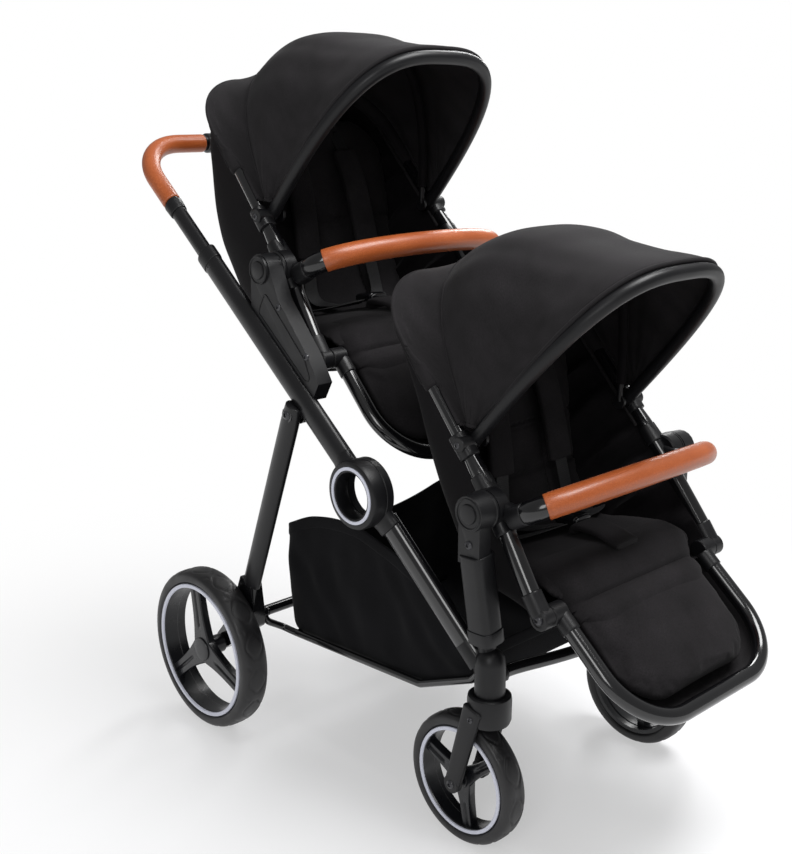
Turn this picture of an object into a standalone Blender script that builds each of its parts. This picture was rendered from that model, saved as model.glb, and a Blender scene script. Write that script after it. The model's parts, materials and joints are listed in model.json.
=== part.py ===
"""A tandem two-seat convertible pram with two hooded seats, a basket and four wheels.

Metres, +Z up, front towards -Y. The near side of the photograph is -X. Each side piece is
made once at +X or -X by a loop over SIDES, and each seat by build_seat().
"""
import math
import bpy
import bmesh
from mathutils import Matrix, Vector

# Clearances
GAP = 0.0003                # between pieces that touch
PIVOT_GAP = 0.0005          # between a pin and its bore
OPEN_PIVOT_GAP = 0.0020     # at the pivot where the folding linkage is opened
SHARP = math.radians(32)    # edges sharper than this stay sharp when shaded

# Heights and reaches that place the main points, seen from the side (y back, z up)
HUB_Z = 0.485               # ring hub, centre of the folding frame
REAR_AXLE_BACK = 0.355      # rear axle behind the hub
CASTER_FORWARD = 0.211      # caster axis in front of the hub
CASTER_TRAIL = 0.0393       # front axle behind its caster axis

# Main tubes
SLOPE = math.radians(38.9)  # upper tubes and handle
TUBE_X = 0.238              # side plane of the upper tubes
TUBE_DEPTH = 0.029          # oval tube, size in the side plane
TUBE_WIDTH = 0.0235         # oval tube, size across
UPPER_TUBE_END = 0.480      # hub centre to the open end of the upper tube
LOWER_TUBE_X = 0.232        # lower tube at the hub
LOWER_TUBE_FOOT_X = 0.206   # lower tube at the caster housing
LOWER_TUBE_WIDTH = 0.022
LOWER_FOOT = (-0.190, -0.202)   # hub to the foot of the lower tube (back, up)

# Ring hubs
HUB_R = 0.052
HUB_BORE_R = 0.031
SPIGOT_WALL = 0.003
HUB_INNER_X = (0.217, 0.2417)
HUB_OUTER_FACE = 0.2665
RING_R = 0.043
RING_W = 0.0045
RING_PROUD = 0.001
RING_SEAT = 0.002
COLLAR_START = 0.0535       # collars stand clear of the other hub half
COLLAR_END = 0.096
COLLAR_WALL = 0.0035
SOCKET_FLOOR = 0.0605
NECK_HALF = 0.015           # webs between a hub and its collar
NECK_SETBACK = 0.002
NECK_SUNK = 0.006
NECK_OUTER_DEEP = 0.0115
HUB_SIDES = 16

# Handle
HANDLE_DEPTH = 0.0225
HANDLE_WIDTH = 0.0190
HANDLE_FOOT = 0.380         # hub centre to the lower end of the handle's legs
HANDLE_BORE_FOOT = 0.290
HANDLE_TOP = 0.738          # hub centre to the crossbar's axis
HANDLE_CORNER_R = 0.085
GRIP_START = 0.595
GRIP_INNER_X = 0.098
GRIP_R = 0.0125
COLLAR_LENGTH = 0.012
CENTRE_R = 0.0145
BUTTON_SIZE = (0.034, 0.011, 0.009)
BUTTON_PROUD = 0.0035
BUTTON_TRAVEL = 0.0025

# Casters and front wheels
CASTER_X = 0.202
HOUSING_R = 0.0215
HOUSING_FOOT = 0.2255
HOUSING_SHOULDER = 0.285
HOUSING_TOP = 0.308
STEM_R = 0.008
STEM_LENGTH = 0.049
CROWN_R = 0.0305
CROWN_TOP = 0.240
CROWN_FOOT = 0.1965
FORK_LEG = 0.0105
FORK_INSIDE = 0.0235        # wheel centre plane to a fork leg
FORK_END_R = 0.014
FRONT_BOLT_R = 0.005
FRONT_WHEEL_R = 0.0965
FRONT_TYRE_W = 0.038
FRONT_RING = (0.078, 0.0075)
CROSS_BAR_R = 0.009
CROSS_BAR_Z = 0.262
CROSS_BAR_BOW = 0.030
BOSS_R = 0.0125
BOSS_END_X = 0.176

# Rear legs, axle and wheels
LEG_PIVOT = (0.150, 0.087)      # hub to the leg's top pivot (back, up)
LEG_X = 0.250
LEG_FOOT = (0.2834, -0.2337)    # hub to the foot of the leg tube
LEG_FOOT_X = 0.240
LEG_DEPTH = 0.029
LEG_WIDTH = 0.020
LEG_BOSS_R = 0.0115
LEG_PIN_R = 0.005
LUG_X = (0.2285, 0.2388)
BRACKET_X = (0.228, 0.250)
AXLE_TUBE_R = 0.009
AXLE_TUBE_AT = (0.317, -0.300)  # hub to the cross tube
STUB_R = 0.006
REAR_WHEEL_X = 0.276
REAR_WHEEL_R = 0.135
REAR_TYRE_W = 0.048
REAR_RING = (0.1135, 0.009)
PEDAL_REACH = 0.075
PEDAL_W = 0.056

# Basket and its carrying frame
BASKET_HALF = 0.190
BASKET_WALL = 0.004
BASKET_BACK = 0.2418        # ring hub to the back and front edges of the basket's rim
BASKET_FRONT = -0.180
DIP_R = 0.35                # the back edge sags along an arc
DIP_FLOOR = 0.33
RAIL_X = 0.182
RAIL_R = 0.006
RAIL_FRONT_PIVOT = (-0.181, -0.225)     # hub to the front pivot
RAIL_REAR_PIVOT = (0.277, -0.280)       # hub to the rear pivot on the leg bracket
EYE_R = 0.009
EYE_W = 0.0125
RAIL_PIN_R = 0.003

# Seats: offsets from the hub of each seat, in its side plane (back, up)
SEAT_A = (0.235, 0.290)     # rear seat hub, from the ring hub
SEAT_B = (-0.200, 0.018)    # front seat hub, from the ring hub
SEAT_OUTER_X = 0.2125
SEAT_PIN_R = 0.008
SEAT_HUB_R = 0.026
HOUSING_INNER_X = 0.1845
FRAME_R = 0.010
BACK_ANGLE = math.radians(48.5)
BACK_LENGTH = 0.372
BACK_HALF = (0.186, 0.176)
BACK_CORNER_R = 0.07
CALF_HINGE = (-0.093, -0.128)
KNUCKLE_R = 0.015
KNUCKLE_OUTER_X = 0.200
CALF_SIDE_ROOM = 0.008      # between the calf tube and the seat's knuckle
CALF_TUBE_R = 0.0095
CALF_HALF = HOUSING_INNER_X - CALF_TUBE_R - CALF_SIDE_ROOM
CALF_LENGTH = 0.187
CALF_CORNER_R = 0.09
CALF_DROP = {"rear_seat": math.radians(47), "front_seat": math.radians(40)}   # below level
CALF_PIN_R = 0.004
BUMPER_SOCKET = (-0.045, -0.002)
BUMPER_RISE = math.radians(27.4)
BUMPER_X = 0.188
BUMPER_R = 0.015
BUMPER_REACH = 0.078
TONGUE_R = 0.009
TONGUE_IN = 0.014
HOOD_PIVOT = (0.058, 0.073)
FRONT_BOW = (0.1655, 0.303, math.radians(131), 0.0075)   # half-width, height, plane, tube radius
MID_BOW = (0.1525, 0.275, math.radians(92), 0.0050)
HOOD_CREST = (0.178, 0.283, math.radians(92))            # cloth over the mid bow
HOOD_THICK = 0.003
EAR_R = 0.011
EAR_T = 0.005
HOOD_PIN_R = 0.003
TUB_WALL = 0.005
PAD_T = 0.020
PAD_HALF = 0.158

# The origin lies under the middle of the whole length
FRONT_REACH = CALF_TUBE_R + CALF_LENGTH * math.cos(CALF_DROP["front_seat"]) - CALF_HINGE[0] - SEAT_B[0]
REAR_REACH = HANDLE_TOP * math.cos(SLOPE) + CENTRE_R
HUB_Y = (FRONT_REACH - REAR_REACH) / 2

SIDES = {"right": -1, "left": 1}
SEATS = {"rear_seat": SEAT_A, "front_seat": SEAT_B}


def from_hub(back, up):
    """A side-plane point given from the ring hub, as (y, z)."""
    return Vector((HUB_Y + back, HUB_Z + up))


def on_slope(along, above=0.0):
    """A side-plane point given along the upper tube's line from the ring hub."""
    return from_hub(along * math.cos(SLOPE) - above * math.sin(SLOPE),
                    along * math.sin(SLOPE) + above * math.cos(SLOPE))


def turn(point, angle):
    """A side-plane vector turned by an angle, back towards up."""
    c, s = math.cos(angle), math.sin(angle)
    return Vector((point[0] * c - point[1] * s, point[0] * s + point[1] * c))


def lift(x, yz):
    """A point in space from a distance across and a side-plane point."""
    return Vector((x, yz[0], yz[1]))


# Scene and materials
def clear_scene():
    for old in list(bpy.data.objects):
        bpy.data.objects.remove(old, do_unlink=True)


def new_collection(name):
    made = bpy.data.collections.new(name)
    bpy.context.scene.collection.children.link(made)
    return made


def new_material(name, colour, roughness, metallic=0.0):
    made = bpy.data.materials.new(name)
    made.use_nodes = True
    shader = made.node_tree.nodes["Principled BSDF"]
    shader.inputs["Base Color"].default_value = (*colour, 1.0)
    shader.inputs["Roughness"].default_value = roughness
    shader.inputs["Metallic"].default_value = metallic
    made.diffuse_color = (*colour, 1.0)
    return made


clear_scene()
PARTS = new_collection("convertible_pram")
FINISH = {
    "black_enamel": ((0.012, 0.012, 0.014), 0.18, 0.0),
    "black_plastic": ((0.020, 0.020, 0.022), 0.45, 0.0),
    "charcoal_fabric": ((0.022, 0.019, 0.020), 0.90, 0.0),
    "charcoal_lining": ((0.030, 0.028, 0.030), 0.85, 0.0),
    "tan_leather": ((0.42, 0.13, 0.05), 0.50, 0.0),
    "tyre_rubber": ((0.028, 0.027, 0.028), 0.75, 0.0),
    "white_trim": ((0.62, 0.64, 0.74), 0.35, 0.0),
}
MATERIALS = {}
for finish_name, (finish_colour, finish_rough, finish_metal) in FINISH.items():
    MATERIALS[finish_name] = new_material(finish_name, finish_colour, finish_rough, finish_metal)


# Shape helpers: each returns an object whose mesh is in world coordinates
def from_bmesh(name, bm):
    bmesh.ops.recalc_face_normals(bm, faces=bm.faces)
    mesh = bpy.data.meshes.new(name)
    bm.to_mesh(mesh)
    bm.free()
    made = bpy.data.objects.new(name, mesh)
    PARTS.objects.link(made)
    return made


def baked(source, weld=0.00001):
    """The evaluated mesh of an object as a plain mesh object, and the source removed."""
    bpy.context.view_layer.update()
    mesh = bpy.data.meshes.new_from_object(source.evaluated_get(bpy.context.evaluated_depsgraph_get()))
    matrix = source.matrix_world.copy()
    name = source.name
    bpy.data.objects.remove(source, do_unlink=True)
    bm = bmesh.new()
    bm.from_mesh(mesh)
    bpy.data.meshes.remove(mesh)
    bmesh.ops.remove_doubles(bm, verts=bm.verts, dist=weld)
    bm.transform(matrix)
    return from_bmesh(name, bm)


def tube(name, points, radius, stretch=(1.0, 1.0, 1.0), resolution=2, matrix=None, closed=False):
    """A round tube along a path. stretch makes it oval about the path, which stays where it is."""
    curve = bpy.data.curves.new(name, "CURVE")
    curve.dimensions = "3D"
    curve.bevel_depth = radius
    curve.bevel_resolution = resolution
    curve.use_fill_caps = True
    spline = curve.splines.new("POLY")
    spline.points.add(len(points) - 1)
    spline.use_cyclic_u = closed
    for spot, point in zip(spline.points, points):
        spot.co = (point[0] / stretch[0], point[1] / stretch[1], point[2] / stretch[2], 1.0)
    made = bpy.data.objects.new(name, curve)
    PARTS.objects.link(made)
    made.scale = stretch
    made = baked(made)
    if matrix is not None:
        made.data.transform(matrix)
    return made


def filleted(points, radius, steps=5):
    """A path with each inner corner rounded by an arc."""
    path = [Vector(points[0])]
    for before, corner, after in zip(points, points[1:], points[2:]):
        corner = Vector(corner)
        back = (Vector(before) - corner).normalized()
        on = (Vector(after) - corner).normalized()
        half = back.angle(on) / 2
        reach = radius / math.tan(half)
        centre = corner + (back + on).normalized() * (radius / math.sin(half))
        start = (corner + back * reach - centre).normalized()
        end = (corner + on * reach - centre).normalized()
        for i in range(steps + 1):
            path.append(centre + start.slerp(end, i / steps) * radius)
    path.append(Vector(points[-1]))
    return path


def turned(name, profile, at, axis="X", steps=16):
    """A profile of (radius, distance along the axis) turned about an axis through a point."""
    mesh = bpy.data.meshes.new(name)
    spots = [(r, 0.0, a) for r, a in profile]
    closed_loop = min(r for r, _ in profile) > 0
    edges = [(i, i + 1) for i in range(len(spots) - 1)]
    if closed_loop:
        edges.append((len(spots) - 1, 0))
    mesh.from_pydata(spots, edges, [])
    made = bpy.data.objects.new(name, mesh)
    PARTS.objects.link(made)
    screw = made.modifiers.new("turn", "SCREW")
    screw.steps = steps
    screw.render_steps = steps
    screw.use_merge_vertices = True
    screw.merge_threshold = 0.00001
    made = baked(made)
    face_down = Matrix.Rotation(math.pi / steps, 4, "Z")
    lay = Matrix.Rotation(math.pi / 2, 4, "Y") if axis == "X" else Matrix.Identity(4)
    made.data.transform(Matrix.Translation(at) @ lay @ face_down)
    return made


def extruded(name, outline, x_from, x_to):
    """A side-plane outline of (y, z) points made solid between two distances across."""
    curve = bpy.data.curves.new(name, "CURVE")
    curve.dimensions = "2D"
    curve.fill_mode = "BOTH"
    curve.extrude = abs(x_to - x_from) / 2
    spline = curve.splines.new("POLY")
    spline.points.add(len(outline) - 1)
    spline.use_cyclic_u = True
    for spot, (y, z) in zip(spline.points, outline):
        spot.co = (y, z, 0.0, 1.0)
    made = bpy.data.objects.new(name, curve)
    PARTS.objects.link(made)
    across = Matrix(((0, 0, 1, (x_from + x_to) / 2), (1, 0, 0, 0), (0, 1, 0, 0), (0, 0, 0, 1)))
    made = baked(made)
    made.data.transform(across)
    return made


def box(name, low, high, matrix=None):
    bm = bmesh.new()
    bmesh.ops.create_cube(bm, size=1.0)
    low, high = Vector(low), Vector(high)
    size = high - low
    bm.transform(Matrix.Translation((low + high) / 2) @ Matrix.Diagonal((*size, 1.0)))
    if matrix is not None:
        bm.transform(matrix)
    return from_bmesh(name, bm)


def rod(name, start, end, radius, end_radius=None, sides=10):
    """A cylinder or cone between two points."""
    start, end = Vector(start), Vector(end)
    bm = bmesh.new()
    bmesh.ops.create_cone(bm, cap_ends=True, segments=sides, radius1=radius,
                          radius2=radius if end_radius is None else end_radius,
                          depth=(end - start).length)
    lay = Vector((0, 0, 1)).rotation_difference(end - start).to_matrix().to_4x4()
    bm.transform(Matrix.Translation((start + end) / 2) @ lay)
    return from_bmesh(name, bm)


def combine(base, tool, operation):
    """A Boolean between two objects, baked; the tool is removed."""
    cut = base.modifiers.new("combine", "BOOLEAN")
    cut.operation = operation
    cut.solver = "EXACT"
    cut.object = tool
    name = base.name
    made = baked(base, 0.000002)
    made.name = name
    bpy.data.objects.remove(tool, do_unlink=True)
    return made


def joined(base, *tools):
    for tool in tools:
        base = combine(base, tool, "UNION")
    return base


def drilled(base, *tools):
    for tool in tools:
        base = combine(base, tool, "DIFFERENCE")
    return base


def rounded_outline(corners, steps=3):
    """An outline from (y, z, fillet radius) corners, as (y, z) points."""
    outline = []
    count = len(corners)
    for i, (y, z, radius) in enumerate(corners):
        corner = Vector((y, z))
        if radius == 0:
            outline.append((y, z))
            continue
        back = (Vector(corners[i - 1][:2]) - corner).normalized()
        on = (Vector(corners[(i + 1) % count][:2]) - corner).normalized()
        half = back.angle(on) / 2
        centre = corner + (back + on).normalized() * (radius / math.sin(half))
        start = corner + back * (radius / math.tan(half)) - centre
        swing = start.angle_signed(corner + on * (radius / math.tan(half)) - centre)
        for k in range(steps + 1):
            spot = centre + turn(start, -swing * k / steps)
            outline.append((spot.x, spot.y))
    return outline


def pivot(name, at):
    """An empty on a joint's axis."""
    empty = bpy.data.objects.new(name, None)
    empty.empty_display_size = 0.02
    empty.location = at
    PARTS.objects.link(empty)
    return empty


def finish(part, name, material, carrier=None):
    """Names a piece, gives it its material and hangs it on its joint's empty."""
    part.name = name
    part.data.name = name
    part.data.materials.clear()
    part.data.materials.append(MATERIALS[material])
    part.data.shade_smooth()
    part.data.set_sharp_from_angle(angle=SHARP)
    if carrier is not None:
        part.data.transform(Matrix.Translation(-carrier.location))
        part.parent = carrier
    return part


# Folding chassis
HUB = from_hub(0, 0)
LOWER_DIR = Vector(LOWER_FOOT).normalized()
UPPER_DIR = turn((1, 0), SLOPE)
SPIGOT_R = HUB_BORE_R + SPIGOT_WALL
SPIGOT_BORE_R = (SPIGOT_R + GAP) / math.cos(math.pi / HUB_SIDES)     # flats clear the turning spigot
TUBE_ROUND = TUBE_DEPTH / 2
OVAL_SIDES = 10             # facets round a main tube, one of them on top
TUBE_TOP = TUBE_ROUND * math.cos(math.pi / OVAL_SIDES)
CASTER_Y = HUB_Y - CASTER_FORWARD
REAR_AXLE = Vector((HUB_Y + REAR_AXLE_BACK, REAR_WHEEL_R))
FRONT_AXLE = Vector((CASTER_Y + CASTER_TRAIL, FRONT_WHEEL_R))

JOINT = {
    "chassis_fold": pivot("joint_chassis_fold", lift(0, HUB)),
    "rear_leg_fold": pivot("joint_rear_leg_fold", lift(0, from_hub(*LEG_PIVOT))),
    "basket_frame_fold": pivot("joint_basket_frame_fold", lift(0, from_hub(*RAIL_FRONT_PIVOT))),
    "handle_slide": pivot("joint_handle_slide", lift(0, on_slope(HANDLE_TOP))),
    "brake": pivot("joint_brake", lift(0, from_hub(*AXLE_TUBE_AT))),
}


def oval(name, start, end, depth, width, grow=0.0):
    """A straight oval tube in space, its depth in the side plane and its width across."""
    ratio = (width + 2 * grow) / (depth + 2 * grow)
    return tube(name, [start, end], depth / 2 + grow, (ratio, 1, 1), OVAL_SIDES // 2 - 2)


def ring_hub_pieces(side, s):
    """The two halves of a ring hub, the white trim ring and the two tubes they carry."""
    inner_from, inner_to = (s * x for x in HUB_INNER_X)
    outer_from = inner_to + s * GAP
    face = s * HUB_OUTER_FACE
    chamfer = 0.003
    centre = lift(0, HUB)
    # Inner half, with the spigot that the outer half turns on
    inner = turned("hub_inner_" + side, [
        (HUB_BORE_R, inner_from), (HUB_R - chamfer, inner_from), (HUB_R, inner_from + s * chamfer),
        (HUB_R, inner_to), (SPIGOT_R, inner_to), (SPIGOT_R, face - s * chamfer),
        (HUB_BORE_R, face - s * chamfer)], centre, steps=HUB_SIDES)
    low = lambda along, x: lift(x, HUB + LOWER_DIR * along)
    spread = (LOWER_TUBE_FOOT_X - LOWER_TUBE_X) / Vector(LOWER_FOOT).length
    tube_at = lambda along: low(along, s * (LOWER_TUBE_X + spread * along))
    collar = oval("c", tube_at(COLLAR_START), tube_at(COLLAR_END), TUBE_DEPTH, LOWER_TUBE_WIDTH,
                  COLLAR_WALL)
    deep = abs(inner_to - inner_from) / 2 - NECK_SETBACK
    neck = box("n", (HUB_R * 0.8, -NECK_HALF, -deep), (COLLAR_START + NECK_SUNK, NECK_HALF, deep))
    lower_frame = Matrix(((0, 0, 1, (inner_from + inner_to) / 2),
                          (LOWER_DIR.x, -LOWER_DIR.y, 0, HUB.x),
                          (LOWER_DIR.y, LOWER_DIR.x, 0, HUB.y), (0, 0, 0, 1)))
    neck.data.transform(lower_frame)
    inner = joined(inner, neck, collar)
    inner = drilled(inner, oval("b", tube_at(SOCKET_FLOOR), tube_at(COLLAR_END + 0.02), TUBE_DEPTH,
                                LOWER_TUBE_WIDTH, GAP))
    finish(inner, "hub_inner_" + side, "black_plastic")
    foot = Vector(LOWER_FOOT).length
    lower = oval("t", tube_at(SOCKET_FLOOR + GAP), tube_at(foot), TUBE_DEPTH, LOWER_TUBE_WIDTH)
    finish(lower, "lower_tube_" + side, "black_enamel")
    # Outer half, with the seat of the trim ring
    seat = face - s * RING_SEAT
    trim_in = RING_R - RING_W
    outer = turned("hub_outer_" + side, [
        (SPIGOT_BORE_R, outer_from), (HUB_R, outer_from), (HUB_R, face - s * chamfer),
        (HUB_R - chamfer, face), (RING_R + GAP, face), (RING_R + GAP, seat),
        (trim_in - GAP, seat), (trim_in - GAP, face), (SPIGOT_BORE_R, face)], centre, steps=HUB_SIDES)
    up = lambda along, x: lift(x, on_slope(along))
    collar = oval("c", up(COLLAR_START, s * TUBE_X), up(COLLAR_END, s * TUBE_X), TUBE_DEPTH, TUBE_WIDTH,
                  COLLAR_WALL)
    neck = box("n", (HUB_R * 0.8, -NECK_HALF, 0), (COLLAR_START + NECK_SUNK, NECK_HALF, NECK_OUTER_DEEP))
    upper_frame = Matrix(((0, 0, s, outer_from), (UPPER_DIR.x, -UPPER_DIR.y, 0, HUB.x),
                          (UPPER_DIR.y, UPPER_DIR.x, 0, HUB.y), (0, 0, 0, 1)))
    neck.data.transform(upper_frame)
    if s < 0:
        neck.data.flip_normals()
    outer = joined(outer, neck, collar)
    outer = drilled(outer, oval("b", up(SOCKET_FLOOR, s * TUBE_X), up(COLLAR_END + 0.02, s * TUBE_X),
                                TUBE_DEPTH, TUBE_WIDTH, GAP))
    finish(outer, "hub_outer_" + side, "black_plastic", JOINT["chassis_fold"])
    ring = turned("r", [(trim_in, seat + s * GAP), (RING_R, seat + s * GAP),
                        (RING_R, face + s * RING_PROUD), (trim_in, face + s * RING_PROUD)], centre)
    finish(ring, "hub_ring_" + side, "white_trim", JOINT["chassis_fold"])
    # Upper tube, bored for the handle, with the lug and bolt of the rear leg
    main = oval("t", up(SOCKET_FLOOR + GAP, s * TUBE_X), up(UPPER_TUBE_END, s * TUBE_X), TUBE_DEPTH,
                TUBE_WIDTH)
    pin_at = from_hub(*LEG_PIVOT)
    stem = pin_at + turn((0, TUBE_ROUND + LEG_BOSS_R), SLOPE) * 0.75
    along = UPPER_DIR * 0.016
    lug = extruded("l", [tuple(stem - along), tuple(pin_at - UPPER_DIR * LEG_BOSS_R),
                         tuple(pin_at + turn((-0.7, -0.8), SLOPE) * LEG_BOSS_R),
                         tuple(pin_at + turn((0.7, -0.8), SLOPE) * LEG_BOSS_R),
                         tuple(pin_at + UPPER_DIR * LEG_BOSS_R), tuple(stem + along)],
                   s * LUG_X[0], s * LUG_X[1])
    leg_outer = LEG_X + LEG_WIDTH / 2
    shaft = rod("p", lift(s * (LUG_X[0] + 0.002), pin_at), lift(s * (leg_outer + 0.002), pin_at), LEG_PIN_R, sides=8)
    head = rod("h", lift(s * (leg_outer + GAP), pin_at), lift(s * (leg_outer + 0.003), pin_at), LEG_PIN_R * 1.7)
    main = joined(main, lug, shaft, head)
    main = drilled(main, oval("b", up(HANDLE_BORE_FOOT, s * TUBE_X), up(UPPER_TUBE_END + 0.01, s * TUBE_X),
                              HANDLE_DEPTH, HANDLE_WIDTH, GAP))
    finish(main, "upper_tube_" + side, "black_enamel", JOINT["chassis_fold"])


def housing_socket(s, grow=0.0):
    """The socket on a caster housing that takes the foot of the lower tube."""
    foot, way = lower_foot(s)
    return oval("socket", foot - way * (0.030 + grow), foot + way * (0.006 + grow), TUBE_DEPTH, LOWER_TUBE_WIDTH,
                COLLAR_WALL * 0.8 + grow)


def lower_foot(s):
    """The foot of a lower tube and the way the tube runs down to it."""
    spread = (LOWER_TUBE_FOOT_X - LOWER_TUBE_X) / Vector(LOWER_FOOT).length
    way = Vector((s * spread, LOWER_DIR.x, LOWER_DIR.y)).normalized()
    return lift(s * LOWER_TUBE_FOOT_X, from_hub(*LOWER_FOOT)), way


def caster_housing(side, s):
    """The swivel housing at the foot of a lower tube, with the boss of the cross bar."""
    axis = Vector((s * CASTER_X, CASTER_Y, 0))
    dome = [(HOUSING_R * math.cos(t), HOUSING_SHOULDER + (HOUSING_TOP - HOUSING_SHOULDER) * math.sin(t))
            for t in (math.radians(d) for d in (0, 22, 45, 68))]
    profile = [(0, HOUSING_TOP)] + dome[::-1] + [(HOUSING_R, HOUSING_FOOT), (0, HOUSING_FOOT)]
    body = turned("housing", profile, axis, "Z", 16)
    foot, way = lower_foot(s)
    socket = housing_socket(s)
    boss = rod("b", (s * (CASTER_X - 0.01), CASTER_Y, CROSS_BAR_Z), (s * BOSS_END_X, CASTER_Y, CROSS_BAR_Z), BOSS_R)
    pin_at = from_hub(*RAIL_FRONT_PIVOT)
    eye_out = RAIL_X + EYE_W / 2 + GAP
    lug = extruded("l", rounded_outline([
        (pin_at.x + EYE_R, pin_at.y - EYE_R, EYE_R * 0.8), (pin_at.x + EYE_R, pin_at.y + EYE_R, EYE_R * 0.8),
        (CASTER_Y + 0.004, pin_at.y + EYE_R + 0.002, 0), (CASTER_Y + 0.004, pin_at.y - EYE_R - 0.002, 0)]),
        s * eye_out, s * (eye_out + 0.005))
    pin = rod("p", lift(s * (eye_out + 0.002), pin_at), lift(s * (RAIL_X - EYE_W / 2 - 0.001), pin_at), RAIL_PIN_R, sides=8)
    head = rod("h", lift(s * (RAIL_X - EYE_W / 2 - GAP), pin_at), lift(s * (RAIL_X - EYE_W / 2 - 0.0025), pin_at),
               RAIL_PIN_R * 1.8, sides=8)
    body = joined(body, socket, boss, lug, pin, head)
    bore = rod("d", (axis.x, axis.y, HOUSING_FOOT - 0.01),
               (axis.x, axis.y, HOUSING_FOOT + STEM_LENGTH + PIVOT_GAP), STEM_R + PIVOT_GAP)
    below = box("k", (axis.x - 0.05, axis.y - 0.02, HOUSING_FOOT - 0.05), (axis.x + 0.05, axis.y + 0.08, HOUSING_FOOT))
    body = drilled(body, oval("b", foot - way * 0.05, foot + way * GAP, TUBE_DEPTH, LOWER_TUBE_WIDTH, GAP), bore, below)
    finish(body, "caster_housing_" + side, "black_plastic")


def front_cross_bar():
    reach = BOSS_END_X - GAP
    bent = reach - CROSS_BAR_R
    bow = [(x, CASTER_Y - CROSS_BAR_BOW * (1 - (x / bent) ** 2) ** 1.5, CROSS_BAR_Z)
           for x in (bent * k / 6 for k in range(-6, 7))]
    bow = [(-reach, CASTER_Y, CROSS_BAR_Z)] + bow + [(reach, CASTER_Y, CROSS_BAR_Z)]
    finish(tube("bar", bow, CROSS_BAR_R), "front_cross_bar", "black_enamel")


def handle():
    """The sliding handle: an inverted U with a centre piece, two grips and a button."""
    carrier = JOINT["handle_slide"]
    carrier.parent = JOINT["chassis_fold"]
    carrier.location = carrier.location - JOINT["chassis_fold"].location
    plane = Matrix.Translation(lift(0, HUB)) @ Matrix.Rotation(SLOPE, 4, "X")
    ratio = HANDLE_DEPTH / HANDLE_WIDTH
    corners = [(-TUBE_X, HANDLE_FOOT, 0), (-TUBE_X, HANDLE_TOP, 0), (TUBE_X, HANDLE_TOP, 0), (TUBE_X, HANDLE_FOOT, 0)]
    loop = filleted(corners, HANDLE_CORNER_R, 5)
    bar = tube("bar", loop, HANDLE_WIDTH / 2, (1, 1, ratio), 3, plane)
    middle = GRIP_INNER_X - GAP
    bar = joined(bar, rod("c", plane @ Vector((-middle, HANDLE_TOP, 0)), plane @ Vector((middle, HANDLE_TOP, 0)), CENTRE_R, sides=14))
    for s in SIDES.values():
        top = plane @ Vector((s * TUBE_X, GRIP_START - GAP, 0))
        foot = plane @ Vector((s * TUBE_X, GRIP_START - COLLAR_LENGTH, 0))
        bar = joined(bar, rod("k", foot, top, GRIP_R - 0.0005, sides=14))
    bx, by, bz = BUTTON_SIZE
    rise = CENTRE_R + BUTTON_PROUD
    pocket = box("p", (-bx / 2 - GAP, HANDLE_TOP - by / 2 - GAP, rise - bz - BUTTON_TRAVEL - GAP),
                 (bx / 2 + GAP, HANDLE_TOP + by / 2 + GAP, rise + 0.01), plane)
    bar = drilled(bar, pocket)
    button = box("b", (-bx / 2, HANDLE_TOP - by / 2, rise - bz),
                 (bx / 2, HANDLE_TOP + by / 2, rise), plane)
    world = lift(0, on_slope(HANDLE_TOP))
    for piece, name in ((bar, "handle_tube"), (button, "handle_button")):
        finish(piece, name, "black_enamel" if piece is bar else "black_plastic")
        piece.data.transform(Matrix.Translation(-world))
        piece.parent = carrier
    for side, s in SIDES.items():
        path = [Vector((s * TUBE_X, GRIP_START, 0))]
        path += [p for p in loop if p.x * s > GRIP_INNER_X and p.y > GRIP_START + 0.001][::s]
        if path[1].y > path[-1].y:
            path[1:] = path[1:][::-1]
        path.append(Vector((s * GRIP_INNER_X, HANDLE_TOP, 0)))
        grip = tube("g", path, GRIP_R, (1, 1, 1), 3, plane)
        core = tube("i", loop, HANDLE_WIDTH / 2 + GAP, (1, 1, ratio), 3, plane)
        grip = drilled(grip, core)
        finish(grip, "handle_grip_" + side, "tan_leather")
        grip.data.transform(Matrix.Translation(-world))
        grip.parent = carrier


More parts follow.
